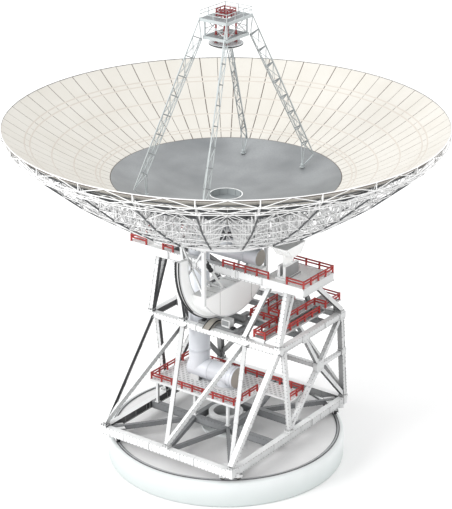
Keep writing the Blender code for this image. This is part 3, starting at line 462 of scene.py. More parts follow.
def grating_look(name, plate, slot_colour, share):
    """Deck plates with rows of short slots, by a brick pattern whose bricks are the slots."""
    paint = Paint(name)
    plate, slot_colour = linear(*plate), linear(*slot_colour)
    rows = paint.node(
        "TexBrick",
        (
            ("Color1", slot_colour), ("Color2", slot_colour), ("Mortar", plate), ("Scale", 1.0),
            ("Brick Width", 0.42), ("Row Height", 0.24), ("Mortar Size", 0.09), ("Mortar Smooth", 0.1),
            ("Vector", paint.place),
        ),
        offset=0.5,
    )
    return paint.finish(paint.mix(share, plate, rows.outputs["Color"]), (0.5, 0.7), 30.0, 0.05)


# Painted shade: each paint given a shade colour below darkens towards it on faces turned inwards, towards +x
# and down, and in hollows
PAINTED_SHADE = (52, 53, 55)
# Painted shade at the foot of the concrete wall: its tone, and the height where it fades out
GROUND_SHADE = ((198, 205, 204), 3.2 * S)
WHITE = surface_look(
    "white_paint", (246, 247, 247), (222, 224, 224), shade_colour=PAINTED_SHADE, shade_weights=(0.4, 0.2, 0.5, 0.3)
)
WHITE_FRAME = surface_look(
    "white_frame_paint", (247, 248, 248), (224, 226, 226), shade_colour=PAINTED_SHADE, shade_weights=(0.75, 0.36, 0.85, 0.45)
)
WHITE_LATTICE = surface_look(
    "white_lattice_paint", (252, 252, 252), (230, 232, 232), shade_colour=(28, 29, 31), shade_weights=(0.9, 0.12, 0.6, 0.0)
)
# Shaded copy of the white lattice paint: painted shade for chords, rings and the hub cross frame under the
# dish
SHADED_LATTICE = surface_look(
    "shaded_lattice_paint", (92, 95, 98), (66, 68, 71), shade_colour=(24, 25, 28), shade_weights=(0.6, 0.2, 0.5, 0.2)
)
# Shaded copy of the white frame paint: painted shade on the inner beams of the base and on the drive floor
# girders
SHADED_FRAME = surface_look(
    "shaded_frame_paint", (142, 144, 146), (112, 114, 116), (0.4, 0.6),
    shade_colour=PAINTED_SHADE, shade_weights=(0.2, 0.2, 0.6, 0.2),
)
# Painted shade on the inward, side and lower faces of the legs
LEG_PAINT = surface_look(
    "pale_leg_paint", (200, 207, 208), (176, 183, 184), shade_colour=(120, 124, 126), shade_weights=(0.4, 0.3, 0.4, 0.0)
)
RUNG_PAINT = surface_look("grey_rung_paint", (146, 151, 153), (116, 120, 122))
GREY_STEEL = surface_look("grey_steel", (150, 152, 153), (112, 113, 113), (0.35, 0.6), 0.2)
CONCRETE = surface_look(
    "pale_concrete", (226, 230, 230), (212, 217, 217), (0.7, 0.9), 0.0, 24.0, 0.2, 0.0, 0.4, foot_shade=GROUND_SHADE
)
# Paler than the wall: painted light on the top of the pad, with wear patches
BRIGHTENED_CONCRETE_TOP = surface_look(
    "worn_brightened_concrete_top", (240, 240, 240), (228, 228, 228), (0.75, 0.92), 0.0, 18.0, 0.3, 0.1, 0.6
)
RAIL_STEEL = surface_look("rail_steel", (196, 198, 200), (160, 160, 160), (0.3, 0.5), 0.3)
RED = surface_look("red_rail_paint", (172, 50, 46), (140, 36, 34), (0.4, 0.6), 0.0, 40.0, 0.05, 0.3, 0.5)
DEEP_RED = surface_look("deep_red_paint", (138, 28, 33), (104, 20, 25), (0.4, 0.6))
CREAM = surface_look(
    "cream_panel_paint", (216, 213, 206), (209, 205, 196), (0.5, 0.7), 0.0, 50.0, 0.04, 0.0, 0.6
)
SEAM = surface_look("seam_shadow", (108, 98, 92), (84, 76, 70), (0.7, 0.9), 0.0, 50.0, 0.04, 0.0, 0.5)
RING_SEAM = surface_look("ring_seam_paint", (207, 200, 191), (198, 190, 181), (0.6, 0.8))
PANEL_BACK = surface_look("panel_back_paint", (176, 172, 164), (148, 144, 138), (0.5, 0.7))
DARK_BACK = surface_look("shaded_panel_back", (80, 80, 79), (58, 58, 58), (0.6, 0.8))
DARK = surface_look("dark_machine_paint", (46, 47, 49), (28, 28, 30), (0.35, 0.6), 0.3)
TAUPE = surface_look("taupe_paint", (172, 167, 158), (146, 141, 133), (0.4, 0.6))
# Painted blue-grey shade on faces turned towards +x and down, and in hollows
PIPE = surface_look(
    "blue_white_paint", (240, 243, 248), (226, 230, 237), (0.25, 0.4), 0.0, 40.0, 0.03, 0.15, 0.3,
    shade_colour=(120, 126, 134), shade_weights=(0.0, 0.35, 0.6, 0.15),
)
PALE_METAL = surface_look("pale_metal", (228, 231, 233), (208, 212, 214), (0.3, 0.45), 0.2, bump=0.03)
# A brighter white with no painted shade: painted light on the drum, head platform tops, bearing arms and well
# lip, with faint streaks and wear patches
BRIGHTENED_WHITE = surface_look(
    "brightened_white_paint", (252, 253, 252), (245, 246, 244), (0.4, 0.6), streaks=0.1, patches=0.2
)
FAINT_SEAM = surface_look("faint_seam_paint", (170, 170, 166), (150, 150, 146))
# Painted shade, strongest on faces turned towards +x
HOUSING_PAINT = surface_look(
    "housing_paint", (247, 248, 248), (224, 226, 226), shade_colour=(96, 98, 100), shade_weights=(0.2, 0.75, 0.6, 0.0)
)
BOLT_STEEL = surface_look("weathered_bolt_steel", (98, 100, 102), (70, 70, 72), (0.4, 0.6), 0.4)
DISC = disc_look()
DECK_GRATING = grating_look("slotted_deck_plate", (244, 245, 245), (60, 60, 62), 0.75)
GREY_GRATING = grating_look("grey_slotted_plate", (176, 177, 177), (60, 60, 62), 0.6)


# Dish


def build_panels():
    """Separate panels with gaps, over a smooth sheet that closes the gaps from below."""
    shape = Shape()
    wide_gap, narrow_gap, thickness = 0.07, 0.045, 0.07
    columns = 2
    width = columns + 1
    for sector in range(72):
        first = SEAM_TURN + 5.0 * sector
        gaps = (wide_gap, narrow_gap) if sector % 2 == 0 else (narrow_gap, wide_gap)
        for inner, outer in zip(SEAM_RADII, SEAM_RADII[1:]):
            rows = 3 if outer - inner > 1.0 else 1
            r_low, r_high = inner + 0.09, outer - (0.02 if outer > 31.0 else 0.09)
            points = []
            for row in range(rows + 1):
                r = r_low + (r_high - r_low) * row / rows
                start, end = first + math.degrees(gaps[0] / r), first + 5.0 - math.degrees(gaps[1] / r)
                for column in range(width):
                    points.append(polar(r, start + (end - start) * column / columns, surface(r) - 0.01))
            corners = [row * width + column for row in range(rows) for column in range(columns)]
            shape.add(points, [(n, n + width, n + width + 1, n + 1) for n in corners], True)
            border = list(range(width)) + [row * width + columns for row in range(1, rows + 1)]
            border += [rows * width + column for column in range(columns - 1, -1, -1)]
            border += [row * width for row in range(rows - 1, 0, -1)]
            edge = [points[n] for n in border]
            shape.add(edge + [point - UP * thickness for point in edge], side_faces(len(edge)))
    seams = Shape()
    outer = RIM_RADIUS - 0.1
    radii = [DISC_RADIUS + (outer - DISC_RADIUS) * step / 10 for step in range(11)]
    seams.sheet(radii, 0.05, 0.24)
    for r in SEAM_RADII[1:-1]:
        low, high = surface(r - 0.13) - 0.035, surface(r + 0.13) - 0.035
        band = [(r + 0.13, high), (r - 0.13, low), (r - 0.13, low - 0.03), (r + 0.13, high - 0.03)]
        seams.turned(band, 144, look=1)
    make(seams, "reflector_seam_sheet", [SEAM, RING_SEAM], "reflector")
    back = Shape()
    back.sheet(radii[:9], 0.25, 0.28, 1)
    back.sheet(radii[8:], 0.25, 0.28, 0)
    make(back, "reflector_back_sheet", [PANEL_BACK, DARK_BACK], "reflector")
    make(shape, "reflector_panels", [CREAM], "reflector", ("outer_reflector",))


def build_disc():
    """Grey sheet in the middle, and the open well in its centre."""
    shape = Shape()
    start = WELL_RADIUS + 0.01
    shape.sheet([start + (DISC_RADIUS - start) * step / 14 for step in range(15)], 0.0, 0.28)
    make(shape, "disc_sheet", [DISC], "reflector", ("inner_reflector",), 50.0)
    well = Shape()
    low, floor, top = VERTEX_Z - 0.95, VERTEX_Z - 0.9, surface(WELL_RADIUS) + 0.02
    wall = WELL_RADIUS - 0.06
    profile = [(0.0, low), (WELL_RADIUS, low), (WELL_RADIUS, top), (wall, top), (wall, floor), (0.0, floor)]
    well.turned(profile, 12, False, True, 1)
    well.ring(WELL_RADIUS - 0.09, WELL_RADIUS + 0.04, top - 0.03, top + 0.03, 96, 2)
    for step in range(12):
        foot = polar(wall - 0.02, 30.0 * step, floor)
        well.bar(foot, foot + UP * (top - floor - 0.02), 0.07, 0.05, polar(1.0, 30.0 * step))
    cover = [(wall - 0.1, floor + 0.005), (wall - 0.1, floor + 0.02), (0.0, floor + 0.02)]
    well.turned(cover, 48, False)
    make(well, "vertex_drum_casing", [RUNG_PAINT, LEG_PAINT, BRIGHTENED_WHITE], "reflector", ("vertex_drum",))


def build_rim():
    shape = Shape()
    top, outer, low = (31.93, 52.58), (31.9, 51.42), (30.95, 50.45)
    thick, thin = 0.13, 0.1

    def at(chord, angle):
        return polar(chord[0], angle, chord[1])

    for step in range(24):
        here, there = post_angle(step), post_angle(step + 1)
        middle = (here + there) / 2.0
        for chord in (top, outer, low):
            for part in range(3):
                start, end = (at(chord, here + RIB_STEP * end / 3.0) for end in (part, part + 1))
                shape.bar(start, end, thick, thick, UP, 0.03)
        shape.bar(at(top, here), at(outer, here), thin + 0.02)
        shape.bar(at(outer, here), at(low, here), thin)
        shape.bar(at(top, here), at(low, here), thin)
        for angle in (here, there):
            shape.bar(at(outer, angle), at(top, middle), thin)
            shape.bar(at(outer, angle), at(low, middle), thin)
    make(shape, "rim_lattice", [WHITE_LATTICE], "reflector", ("rim_truss",))


def lower_chord(radius):
    points = ((HUB_RADIUS, HUB_LOW + 0.7), (16.0, 39.2), (24.0, 44.4), (RIM_RADIUS, 51.0))
    for (r0, z0), (r1, z1) in zip(points, points[1:]):
        if radius <= r1:
            return z0 + (z1 - z0) * (radius - r0) / (r1 - r0)
    return points[-1][1]


def build_backing():
    """Main ribs, secondary ribs between them and the rings that tie them."""
    upper = [surface(r) - 0.5 for r in STATIONS]
    lower = [lower_chord(r) for r in STATIONS]
    last = len(STATIONS) - 1
    for quarter, (name, _, _) in enumerate(QUARTERS):
        shape = Shape()

        def at(chord, n, angle):
            return polar(STATIONS[n], angle, chord[n])

        for step in range(6):
            here = post_angle(6 * quarter + step)
            half, there = here + RIB_STEP / 2.0, here + RIB_STEP
            for n, r in enumerate(STATIONS):
                shape.bar(at(lower, n, here), at(upper, n, here), 0.16)
                if n < last:
                    shape.bar(at(lower, n, here), at(lower, n + 1, here), 0.18, look=1)
                    shape.bar(at(upper, n, here), at(upper, n + 1, here), 0.2, look=1)
                    near, far = (upper, lower) if n % 2 else (lower, upper)
                    shape.bar(at(near, n, here), at(far, n + 1, here), 0.15)
                shape.bar(at(upper, n, here), at(upper, n, half), 0.14, look=1)
                shape.bar(at(upper, n, half), at(upper, n, there), 0.14, look=1)
                middle = polar(r * math.cos(math.radians(RIB_STEP / 2.0)), half, lower[n])
                shape.bar(at(lower, n, here), middle, 0.11)
                shape.bar(middle, at(lower, n, there), 0.11)
                if n > 0:
                    for angle in (here, there):
                        shape.bar(at(lower, n, angle), at(upper, n, half), 0.1)
                if n < last:
                    knot = polar(STATIONS[n + 1], half, lower[n + 1] + 0.02)
                    for angle in (here, there):
                        shape.bar(at(lower, n, angle), knot, 0.09)
                    if n > 1:
                        shape.bar(at(upper, n, half), at(upper, n + 1, half), 0.12)
                        shape.bar(polar(r, half, upper[n] - 0.05), knot, 0.08)
        # Look 1, on the chords and the upper ring bars, is the lattice drawn dark as painted shade
        looks = [WHITE_LATTICE, SHADED_LATTICE]
        make(shape, "backing_lattice_" + name, looks, "reflector", ("backing_" + name,))


def build_hub():
    shape = Shape()
    r = HUB_RADIUS
    low, high = HUB_LOW + 0.9, surface(r) - 1.6
    shape.ring(r - 0.35, r + 0.35, HUB_LOW, low, 96)
    shape.ring(r - 0.3, r + 0.3, high, high + 0.4, 96)
    for step in range(24):
        here, there = post_angle(step), post_angle(step + 1)
        shape.bar(polar(r, here, low - 0.1), polar(r, here, high + 0.1), 0.34, 0.34, polar(1.0, here), 0.04)
        shape.bar(polar(r, here, low), polar(r, there, high), 0.17)
        shape.bar(polar(r, there, low), polar(r, here, high), 0.17)
    make(shape, "hub_lattice", [WHITE_LATTICE], "reflector", ("hub_ring",))


def build_legs():
    """Four tapering legs of one outer and two inner chords, with rungs and thin braces."""
    foot_r, tip_r, bays, pad = math.hypot(*FOOT) + 0.3, 3.6, 7, 0.3
    for name, x_side, y_side in QUARTERS:
        shape = Shape()
        foot_angle = math.degrees(math.atan2(y_side * FOOT[1], x_side * FOOT[0]))
        apex_angle = math.degrees(math.atan2(y_side * APEX_Y, x_side * APEX_X))
        toe = polar(foot_r, foot_angle, surface(foot_r) + 0.12)
        tip = polar(tip_r, apex_angle, APEX_TOP - 0.4)
        run = Vector((toe.x - tip.x, toe.y - tip.y, 0.0))
        side = run.normalized().cross(UP).normalized()

        def place(share, low, high):
            """A point on a chord that runs between two points of (r, z) in the plane of the leg."""
            r, z = (start + (end - start) * share for start, end in zip(low, high))
            along = (r - tip_r) / (foot_r - tip_r)
            return Vector((tip.x + run.x * along, tip.y + run.y * along, z))

        def outer_at(share):
            return place(share, (14.9, 45.0), (3.92, APEX_TOP - 0.2))

        outer, inner = [], []
        for bay in range(bays + 1):
            share = bay / bays
            half = side * ((0.9 * (1.0 - share) + 0.35 * share) / 2.0)
            middle = place(share, (13.0, 47.0), (tip_r, APEX_LOW - 0.4))
            outer.append(outer_at(0.104 + 0.8015 * share))
            inner.append((middle - half, middle + half))
        heel, head = outer_at(0.0), outer_at(1.0)
        shape.bar(toe, heel, 0.16)
        shape.bar(heel, outer[0], 0.13)
        shape.bar(outer[bays], head, 0.12)
        for corner in inner[0]:
            shape.bar(toe, corner, 0.12)
            shape.bar(heel, corner, 0.09)
            shape.bar(outer[0], corner, 0.14, look=1)
        for corner in inner[bays]:
            shape.bar(outer[bays], corner, 0.1, look=1)
            shape.bar(head, corner, 0.06)
        for bay in range(bays):
            shape.bar(outer[bay], outer[bay + 1], 0.15)
            shape.bar(*inner[bay], 0.07)
            for low, high in zip(inner[bay], inner[bay + 1]):
                shape.bar(low, high, 0.1)
                shape.bar(outer[bay + 1], high, 0.14, look=1)
                shape.bar(outer[bay + 1], low, 0.05)
                shape.bar(outer[bay], high, 0.05)
            shape.bar(inner[bay][bay % 2], inner[bay + 1][1 - bay % 2], 0.05)
        shape.bar(*inner[bays], 0.1)
        shape.box(toe - Vector((pad, pad, 0.02)), toe + Vector((pad, pad, 0.1)), 0.05)
        shape.tube(toe + UP * 0.1, toe + UP * 0.5, 0.26, 16)
        make(shape, "leg_lattice_" + name, [LEG_PAINT, RUNG_PAINT, DISC], "reflector", ("feed_leg_" + name,))


def platform(shape, half_x, half_y, top, hole):
    """Framed platform: edge channels, cross beams and grating planks around an open middle."""
    thick = 0.42
    z = top - thick / 2
    for side in (-1.0, 1.0):
        x, y = side * (half_x - 0.08), side * (half_y - 0.08)
        shape.girder((-half_x, y, z), (half_x, y, z), 0.16, thick, sleeves=False)
        shape.girder((x, -half_y, z), (x, half_y, z), 0.16, thick, sleeves=False)
        x = y = side * hole
        shape.bar((-half_x + 0.1, y, top - 0.15), (half_x - 0.1, y, top - 0.15), 0.14, 0.24)
        shape.bar((x, -half_y + 0.1, top - 0.15), (x, half_y - 0.1, top - 0.15), 0.14, 0.24)
    edge = half_x - 0.12
    for plank in range(round(2.0 * (half_y - 0.2) / 0.3)):
        y = -half_y + 0.2 + 0.3 * (plank + 0.5)
        for start, end in ((-edge, -hole), (hole, edge)) if abs(y) < hole else ((-edge, edge),):
            shape.bar((start, y, top - 0.04), (end, y, top - 0.04), 0.24, 0.05, look=1)


def build_apex():
    shape = Shape()
    platform(shape, APEX_X, APEX_Y, APEX_TOP, 1.15)
    platform(shape, APEX_X - 0.3, APEX_Y - 0.5, APEX_LOW, 1.15)
    rail, high = APEX_LOW + 1.05, APEX_TOP - 0.1
    post_x, post_y = 1.9, 2.4
    for x in (-post_x, post_x):
        for y in (-post_y, post_y):
            shape.bar((x, y, APEX_LOW - 0.1), (x, y, high), 0.2, chamfer=0.03)
            shape.bar((x, y, APEX_LOW), (-x, y + 0.01, high), 0.09)
            shape.bar((x, y, APEX_LOW), (x, -y, high), 0.08)
    for x in (-post_x, post_x):
        shape.tube((x, -post_y, rail), (x, post_y, rail), 0.045, 6)
    for y in (-post_y, post_y):
        shape.tube((-post_x, y, rail), (post_x, y, rail), 0.045, 6)
    make(shape, "apex_platforms", [LEG_PAINT, RUNG_PAINT], "reflector", ("apex_frame",))
    low, tie = APEX_LOW - 1.1, APEX_LOW - 0.36
    posts = Shape()
    for x in (-1.0, 1.0):
        for y in (-1.0, 1.0):
            posts.tube((x, y, low + 0.04), (x, y, high), 0.13, 12)
            posts.tube((x, y, low + 0.005), (x, y, low + 0.08), 0.24, 16)
            for z in (APEX_LOW + 0.02, APEX_TOP - 0.35):
                posts.tube((x, y, z), (x, y, z + 0.12), 0.2, 12)
    for side in (-1.0, 1.0):
        posts.bar((-1.0, side, tie), (1.0, side, tie), 0.12)
        posts.bar((side, -1.0, tie), (side, 1.0, tie), 0.12)
    make(posts, "second_reflector_posts", [RED], "reflector", ("subreflector_posts",))
    dish = Shape()
    top, rim = low - 0.01, 2.44
    curve = [(rim * step / 10, top - 0.97 + 0.75 * (step / 10) ** 2) for step in range(11)]
    dish.turned(curve + [(rim, top - 0.1), (rim - 0.1, top - 0.02), (0.0, top)], 64, False)
    for step in range(8):
        arm = polar(1.0, 45.0 * step + 22.5)
        dish.bar(arm * 0.5 + UP * top, arm * 2.3 + UP * top, 0.09, 0.05)
    low, high = top - 0.24, top - 0.08
    dish.turned([(rim + 0.01, high), (rim + 0.01, low), (rim - 0.08, low), (rim - 0.08, high)], 64, look=1)
    make(dish, "second_reflector", [PALE_METAL, DARK], "reflector", ("subreflector",))


# Turning frame


def foot_plate(shape, x, y, z, size=1.1, tall=0.4):
    """Thick foot with stiffeners and anchor bolts."""
    half = size / 2.0
    shape.block(x, y, half, half, z + 0.001, z + 0.2, 0.04)
    shape.block(x, y, half - 0.22, half - 0.22, z + 0.2, z + tall, 0.08)
    for side in (-1.0, 1.0):
        for across in (-0.4, 0.0, 0.4):
            shape.block(x + across * size, y + side * (half - 0.12), 0.04, 0.1, z + 0.2, z + 0.4)
            bolt = Vector((x + side * (half - 0.11), y + across * size, z + 0.2))
            shape.tube(bolt, bolt + UP * 0.12, 0.07, 6)


def build_base():
    shape = Shape()
    z = BASE_TOP - 0.6
    inner_y, inner_x = 3.7, 3.05

    def beam(start, end, width=0.95, depth=1.2, sleeves=True, look=0):
        shape.girder((*start, z), (*end, z), width, depth, sleeves=sleeves, look=look)

    for side in (-1, 1):
        beam((-BASE_X - 0.47, side * BASE_Y), (BASE_X + 0.47, side * BASE_Y))
        beam((side * BASE_X, -BASE_Y), (side * BASE_X, BASE_Y), 0.92, 1.17)
        # Look 1: the inner beams and diagonals in painted shade
        beam((-BASE_X, side * inner_y), (BASE_X, side * inner_y), 0.8, 1.1, look=1)
        beam((side * inner_x, -inner_y), (side * inner_x, inner_y), 0.82, 1.06, False, 1)
        for way in (-1, 1):
            beam((way * BASE_X, side * BASE_Y), (way * inner_x, side * inner_y), 0.55, 0.7, look=1)
            beam((0.0, side * BASE_Y), (way * inner_x, side * inner_y), 0.5, 0.65, look=1)
            corner = math.degrees(math.atan2(side * BASE_Y, way * BASE_X))
            out, plate = polar(1.0, corner), polar(TRACK_RADIUS, corner, BASE_TOP - 1.15)
            shape.bar(plate - out * 1.4, plate + out * 1.4, 2.4, 0.6, chamfer=0.06)
            shape.bar(plate - out * 1.2 + UP * 0.72, plate + out * 0.6 + UP * 0.72, 1.9, 0.12)
    for side in (-1, 1):
        for step in range(-4, 5):
            shape.block(2.6 * step, side * BASE_Y, 0.05, 0.46, BASE_TOP - 1.08, BASE_TOP - 0.12)
        for step in range(-5, 6):
            shape.block(side * BASE_X, 2.6 * step, 0.44, 0.05, BASE_TOP - 1.06, BASE_TOP - 0.12)
    make(shape, "base_girders", [WHITE_FRAME, SHADED_FRAME], "alidade", ("base_frame",))


def build_bogies():
    corner = math.degrees(math.atan2(BASE_Y, BASE_X))
    places = {
        "front_right": -corner,
        "back_right": corner,
        "back_left": 180.0 - corner,
        "front_left": corner - 180.0,
    }
    radius = 0.42
    for place, degrees in places.items():
        shape = Shape()
        out, along = polar(1.0, degrees), polar(1.0, degrees + 90.0)
        centre = polar(TRACK_RADIUS, degrees)
        body = centre + UP * 4.84
        for side in (-0.4, 0.4):
            low = body + out * side
            shape.bar(low - along * 1.7, low + along * 1.7, 0.1, 0.44, chamfer=0.02)
        shape.bar(body - along * 1.6 + UP * 0.16, body + along * 1.6 + UP * 0.16, 0.8, 0.1)
        shape.bar(centre + UP * 4.85, centre + UP * (BASE_TOP - 1.46), 0.74, 0.74, along, 0.06)
        shape.tube(centre + UP * 4.86, centre + UP * 4.98, 0.4, 24)
        for way in (-1.1, 1.1):
            hub = centre + along * way + UP * (PAD_TOP + 0.2 + radius + 0.002)
            for low, high, size, sides, look in (
                (-0.24, 0.24, radius, 32, 1),
                (-0.3, -0.2, radius * 0.62, 24, 2),
                (0.2, 0.3, radius * 0.62, 24, 2),
                (-0.45, 0.45, 0.13, 16, 1),
            ):
                shape.tube(hub + out * low, hub + out * high, size, sides, look)
        make(shape, "wheel_set_" + place, [WHITE_FRAME, DARK, TAUPE], "alidade", ("bogie_" + place,))


def build_faces():
    front = Shape()
    beam(front, BASE_X + 0.5, MID_FRONT_Y, MID_Z, 0.9, MID_DEPTH)
    for x in (-BASE_X, 0.0, BASE_X):
        foot_plate(front, x, -BASE_Y, BASE_TOP)
    for low_x, high_x, width in (
        (-BASE_X, -BASE_X, COLUMN),
        (-BASE_X, -MID_NODE_X, 0.6),
        (0.0, -MID_NODE_X, 0.62),
        (0.0, MID_NODE_X, 0.62),
        (BASE_X, MID_NODE_X, 0.6),
        (BASE_X, BASE_X, COLUMN),
    ):
        front.girder((low_x, -BASE_Y, BEAM_FOOT), (high_x, MID_FRONT_Y, MID_Z), width)
    rise = Vector((0.0, MID_FRONT_Y + BASE_Y, MID_Z - BEAM_FOOT)).normalized()
    for x in (-MID_NODE_X, MID_NODE_X):
        front.gusset((x, MID_FRONT_Y - 0.05, MID_Z - 0.1), RIGHT, rise, (1.0, 0.6), 0.94)
    for x in (-BASE_X, BASE_X):
        front.gusset((x, MID_FRONT_Y - 0.02, MID_Z - 0.05), RIGHT, rise, (0.6, 0.6), 0.94)
    make(front, "front_face_girders", [WHITE_FRAME], "alidade", ("front_face",))
    for side, name in SIDES:
        shape = Shape()
        x = side * BASE_X
        knee = (x, KNEE_Y, KNEE_Z)
        shape.girder((x, MID_FRONT_Y + 0.46, MID_Z), (x, MID_BACK_Y + 0.5, MID_Z), 0.9, MID_DEPTH)
        shape.girder((x, BASE_Y, BEAM_FOOT), (x, MID_BACK_Y, MID_Z), COLUMN, up=ACROSS)
        for start, end, width in (
            ((x, 0.0, BEAM_FOOT), knee, 0.66),
            (knee, (x, MID_BACK_Y, MID_Z), 0.66),
            (knee, (x, BASE_Y - 0.3, BEAM_FOOT + 0.1), 0.58),
            (knee, (x, FLOOR_BEAM_Y[0], MID_Z), 0.56),
            (knee, (x, 13.97, KNEE_Z - 0.02), 0.54),
            ((x, 0.0, BEAM_FOOT), (x, MID_FRONT_Y + 1.3, MID_Z - 0.2), 0.64),
        ):
            shape.girder(start, end, width, up=RIGHT)
        for y, z, size, thick in (
            (KNEE_Y, KNEE_Z, (0.95, 0.9), 0.72),
            (MID_BACK_Y, MID_Z - 0.1, (0.75, 0.8), 0.94),
            (FLOOR_BEAM_Y[0], MID_Z - 0.15, (0.8, 0.7), 0.94),
            (13.97, KNEE_Z, (0.6, 0.7), 0.86),
        ):
            shape.gusset((x, y, z), ACROSS, UP, size, thick)
        foot_plate(shape, x, 0.0, BASE_TOP)
        foot_plate(shape, x, BASE_Y, BASE_TOP)
        make(shape, name + "_face_girders", [WHITE_FRAME], "alidade", (name + "_face",))
    back = Shape()
    beam(back, BASE_X - 0.46, MID_BACK_Y, MID_Z, 0.86, MID_DEPTH - 0.05)
    foot, peak = Vector((BASE_X, BASE_Y, BEAM_FOOT + 0.4)), Vector((0.0, MID_BACK_Y, MID_Z))
    start = foot.lerp(peak, (COLUMN / 2.0 + 0.1) / BASE_X)
    for side in (-1.0, 1.0):
        back.girder((side * start.x, start.y, start.z), peak, 0.6)
    back.gusset((0.0, MID_BACK_Y + 0.02, MID_Z - 0.2), RIGHT, UP, (1.2, 0.75), 0.9)
    make(back, "back_face_girders", [WHITE_FRAME], "alidade", ("back_face",))
    rear = Shape()
    beam(rear, BASE_X - 0.34, KNEE_Y, KNEE_Z, 0.6, 0.7)
    make(rear, "rear_beam_girder", [WHITE_FRAME], "alidade", ("rear_cross_beam",))


def beam(shape, reach, y, z, width, depth, **options):
    """Girder along x, from -reach to reach."""
    shape.girder((-reach, y, z), (reach, y, z), width, depth, **options)


def build_towers():
    start, top, thick, planks = MID_TOP + 0.4, HEAD_LOW + 0.3, 0.06, 26
    y_low, y_high = HEAD_Y
    for side, name in SIDES:
        shape = Shape()
        x, node = side * BASE_X, side * MID_NODE_X
        low_x, high_x = sorted(side * end for end in HEAD_X)
        low = (low_x + 0.03, y_low + 0.03, HEAD_LOW + 0.02)
        shape.box(low, (high_x - 0.03, y_high - 0.03, HEAD_TOP - thick), 0.02)
        for z in (HEAD_LOW + 0.09, HEAD_TOP - 0.09):
            for y in (y_low + 0.05, y_high - 0.05):
                shape.bar((low_x, y, z), (high_x, y, z), 0.1, 0.18)
            for edge in (low_x + 0.05, high_x - 0.05):
                shape.bar((edge, y_low, z), (edge, y_high, z), 0.1, 0.18)
        for step in range(3):
            rib = low_x + 0.1 + (high_x - low_x - 0.2) * step / 2.0
            for low, high in ((y_low + 0.005, y_low + 0.08), (y_high - 0.08, y_high - 0.005)):
                shape.box((rib - 0.04, low, HEAD_LOW + 0.1), (rib + 0.04, high, HEAD_TOP - 0.1))
        legs = (
            (x, MID_FRONT_Y, x, -0.9, 0.7, RIGHT),
            (x, MID_FRONT_Y + 0.3, x, 1.1, 0.62, RIGHT),
            (x, MID_BACK_Y, x, 3.4, 0.66, RIGHT),
            (node, MID_FRONT_Y, side * 9.0, -0.9, 0.64, ACROSS),
            (node, MID_BACK_Y, side * 10.2, 3.9, 0.6, ACROSS),
        )
        for foot_x, foot_y, peak_x, peak_y, width, up in legs:
            shape.girder((foot_x, foot_y, start), (peak_x, peak_y, top), width, up=up)
        for foot_x in (x, node):
            for foot_y in (MID_FRONT_Y, MID_BACK_Y):
                foot_plate(shape, foot_x, foot_y, MID_TOP, 0.95, 0.45)
        for _, _, peak_x, peak_y, width, _ in legs:
            shape.block(peak_x, peak_y, width * 0.75, width * 0.75, HEAD_LOW - 0.12, HEAD_LOW + 0.02, 0.04)
        z = HEAD_TOP - 0.035
        for plank in range(planks):
            y = y_low + 0.2 + (y_high - y_low - 0.4) * (plank + 0.5) / planks
            shape.bar((low_x + 0.12, y, z), (high_x - 0.12, y, z), 0.26, 0.05, look=1)
        make(shape, name + "_tower_girders", [WHITE_FRAME, BRIGHTENED_WHITE], "alidade", (name + "_tower",))

        cap = Shape()
        middle = side * sum(HOUSING_X) / 2.0
        for outward in (-1.0, 1.0):
            cheek = middle + outward * 0.48
            inner, outer = sorted((cheek + outward * 0.215, cheek + outward * 0.25))
            cap.box((inner, -1.62, HEAD_TOP + 0.25), (outer, 1.62, AXIS_Z + 0.41), 0.01)
            for y in (-1.75, -0.6, 0.6, 1.75):
                bolt = Vector((cheek + outward * 0.32, y, HEAD_TOP + 0.24))
                cap.tube(bolt, bolt + UP * 0.08, 0.07, 6)
        make(cap, name + "_bearing_caps", [HOUSING_PAINT], "alidade")

        arm = Shape()
        near, far = sorted(side * end for end in ARM_X)
        for edge in (near + 0.06, far - 0.06):
            for way in (-1.0, 1.0):
                foot, peak = (edge, way * 0.98, 34.93), (edge, way * 2.28, HUB_LOW + 0.42)
                arm.bar(foot, peak, 0.12, 0.16, ACROSS)
        for step in range(4):
            rib = near + 0.35 + (far - near - 0.7) * step / 3.0
            for way in (-1.0, 1.0):
                arm.bar((rib, way * 1.14, 34.96), (rib, way * 2.41, HUB_LOW + 0.4), 0.08, 0.1, ACROSS)
        make(arm, name + "_arm_ribs", [BRIGHTENED_WHITE], "reflector")

    girder = Shape()
    reach, y = HEAD_X[0] - 0.01, y_low + 0.5
    beam(girder, reach, y, (HEAD_LOW + HEAD_TOP) / 2, 1.0, HEAD_TOP - HEAD_LOW)
    for step in range(5):
        x = -reach + 0.1 + (2.0 * reach - 0.2) * step / 4.0
        for way in (-0.45, 0.45):
            girder.block(x, y + way, 0.04, 0.04, HEAD_LOW + 0.12, HEAD_TOP - 0.12)
    make(girder, "front_girder_plates", [WHITE_FRAME], "alidade", ("front_girder",))


# Counterweight drum and the frames above it


def about_axis(degrees):
    """Direction square to the elevation axis; angles run from the front (180) under to the back (360)."""
    angle = math.radians(degrees)
    return Vector((0.0, math.cos(angle), math.sin(angle)))


def arc_band(shape, radii, x_range, degrees, look=0, steps=96):
    """Part of a ring about the elevation axis."""
    (inner, outer), (low_x, high_x), (first, last) = radii, x_range, degrees
    points = []
    for step in range(steps + 1):
        out = about_axis(first + (last - first) * step / steps)
        for r, x in ((inner, low_x), (outer, low_x), (outer, high_x), (inner, high_x)):
            points.append((x, r * out.y, AXIS_Z + r * out.z))
    faces = []
    for near in range(0, 4 * steps, 4):
        faces += [(near + n, near + 4 + n, near + 4 + (n + 1) % 4, near + (n + 1) % 4) for n in range(4)]
    faces += [(0, 1, 2, 3), tuple(4 * steps + n for n in (3, 2, 1, 0))]
    shape.add(points, faces, False, look)


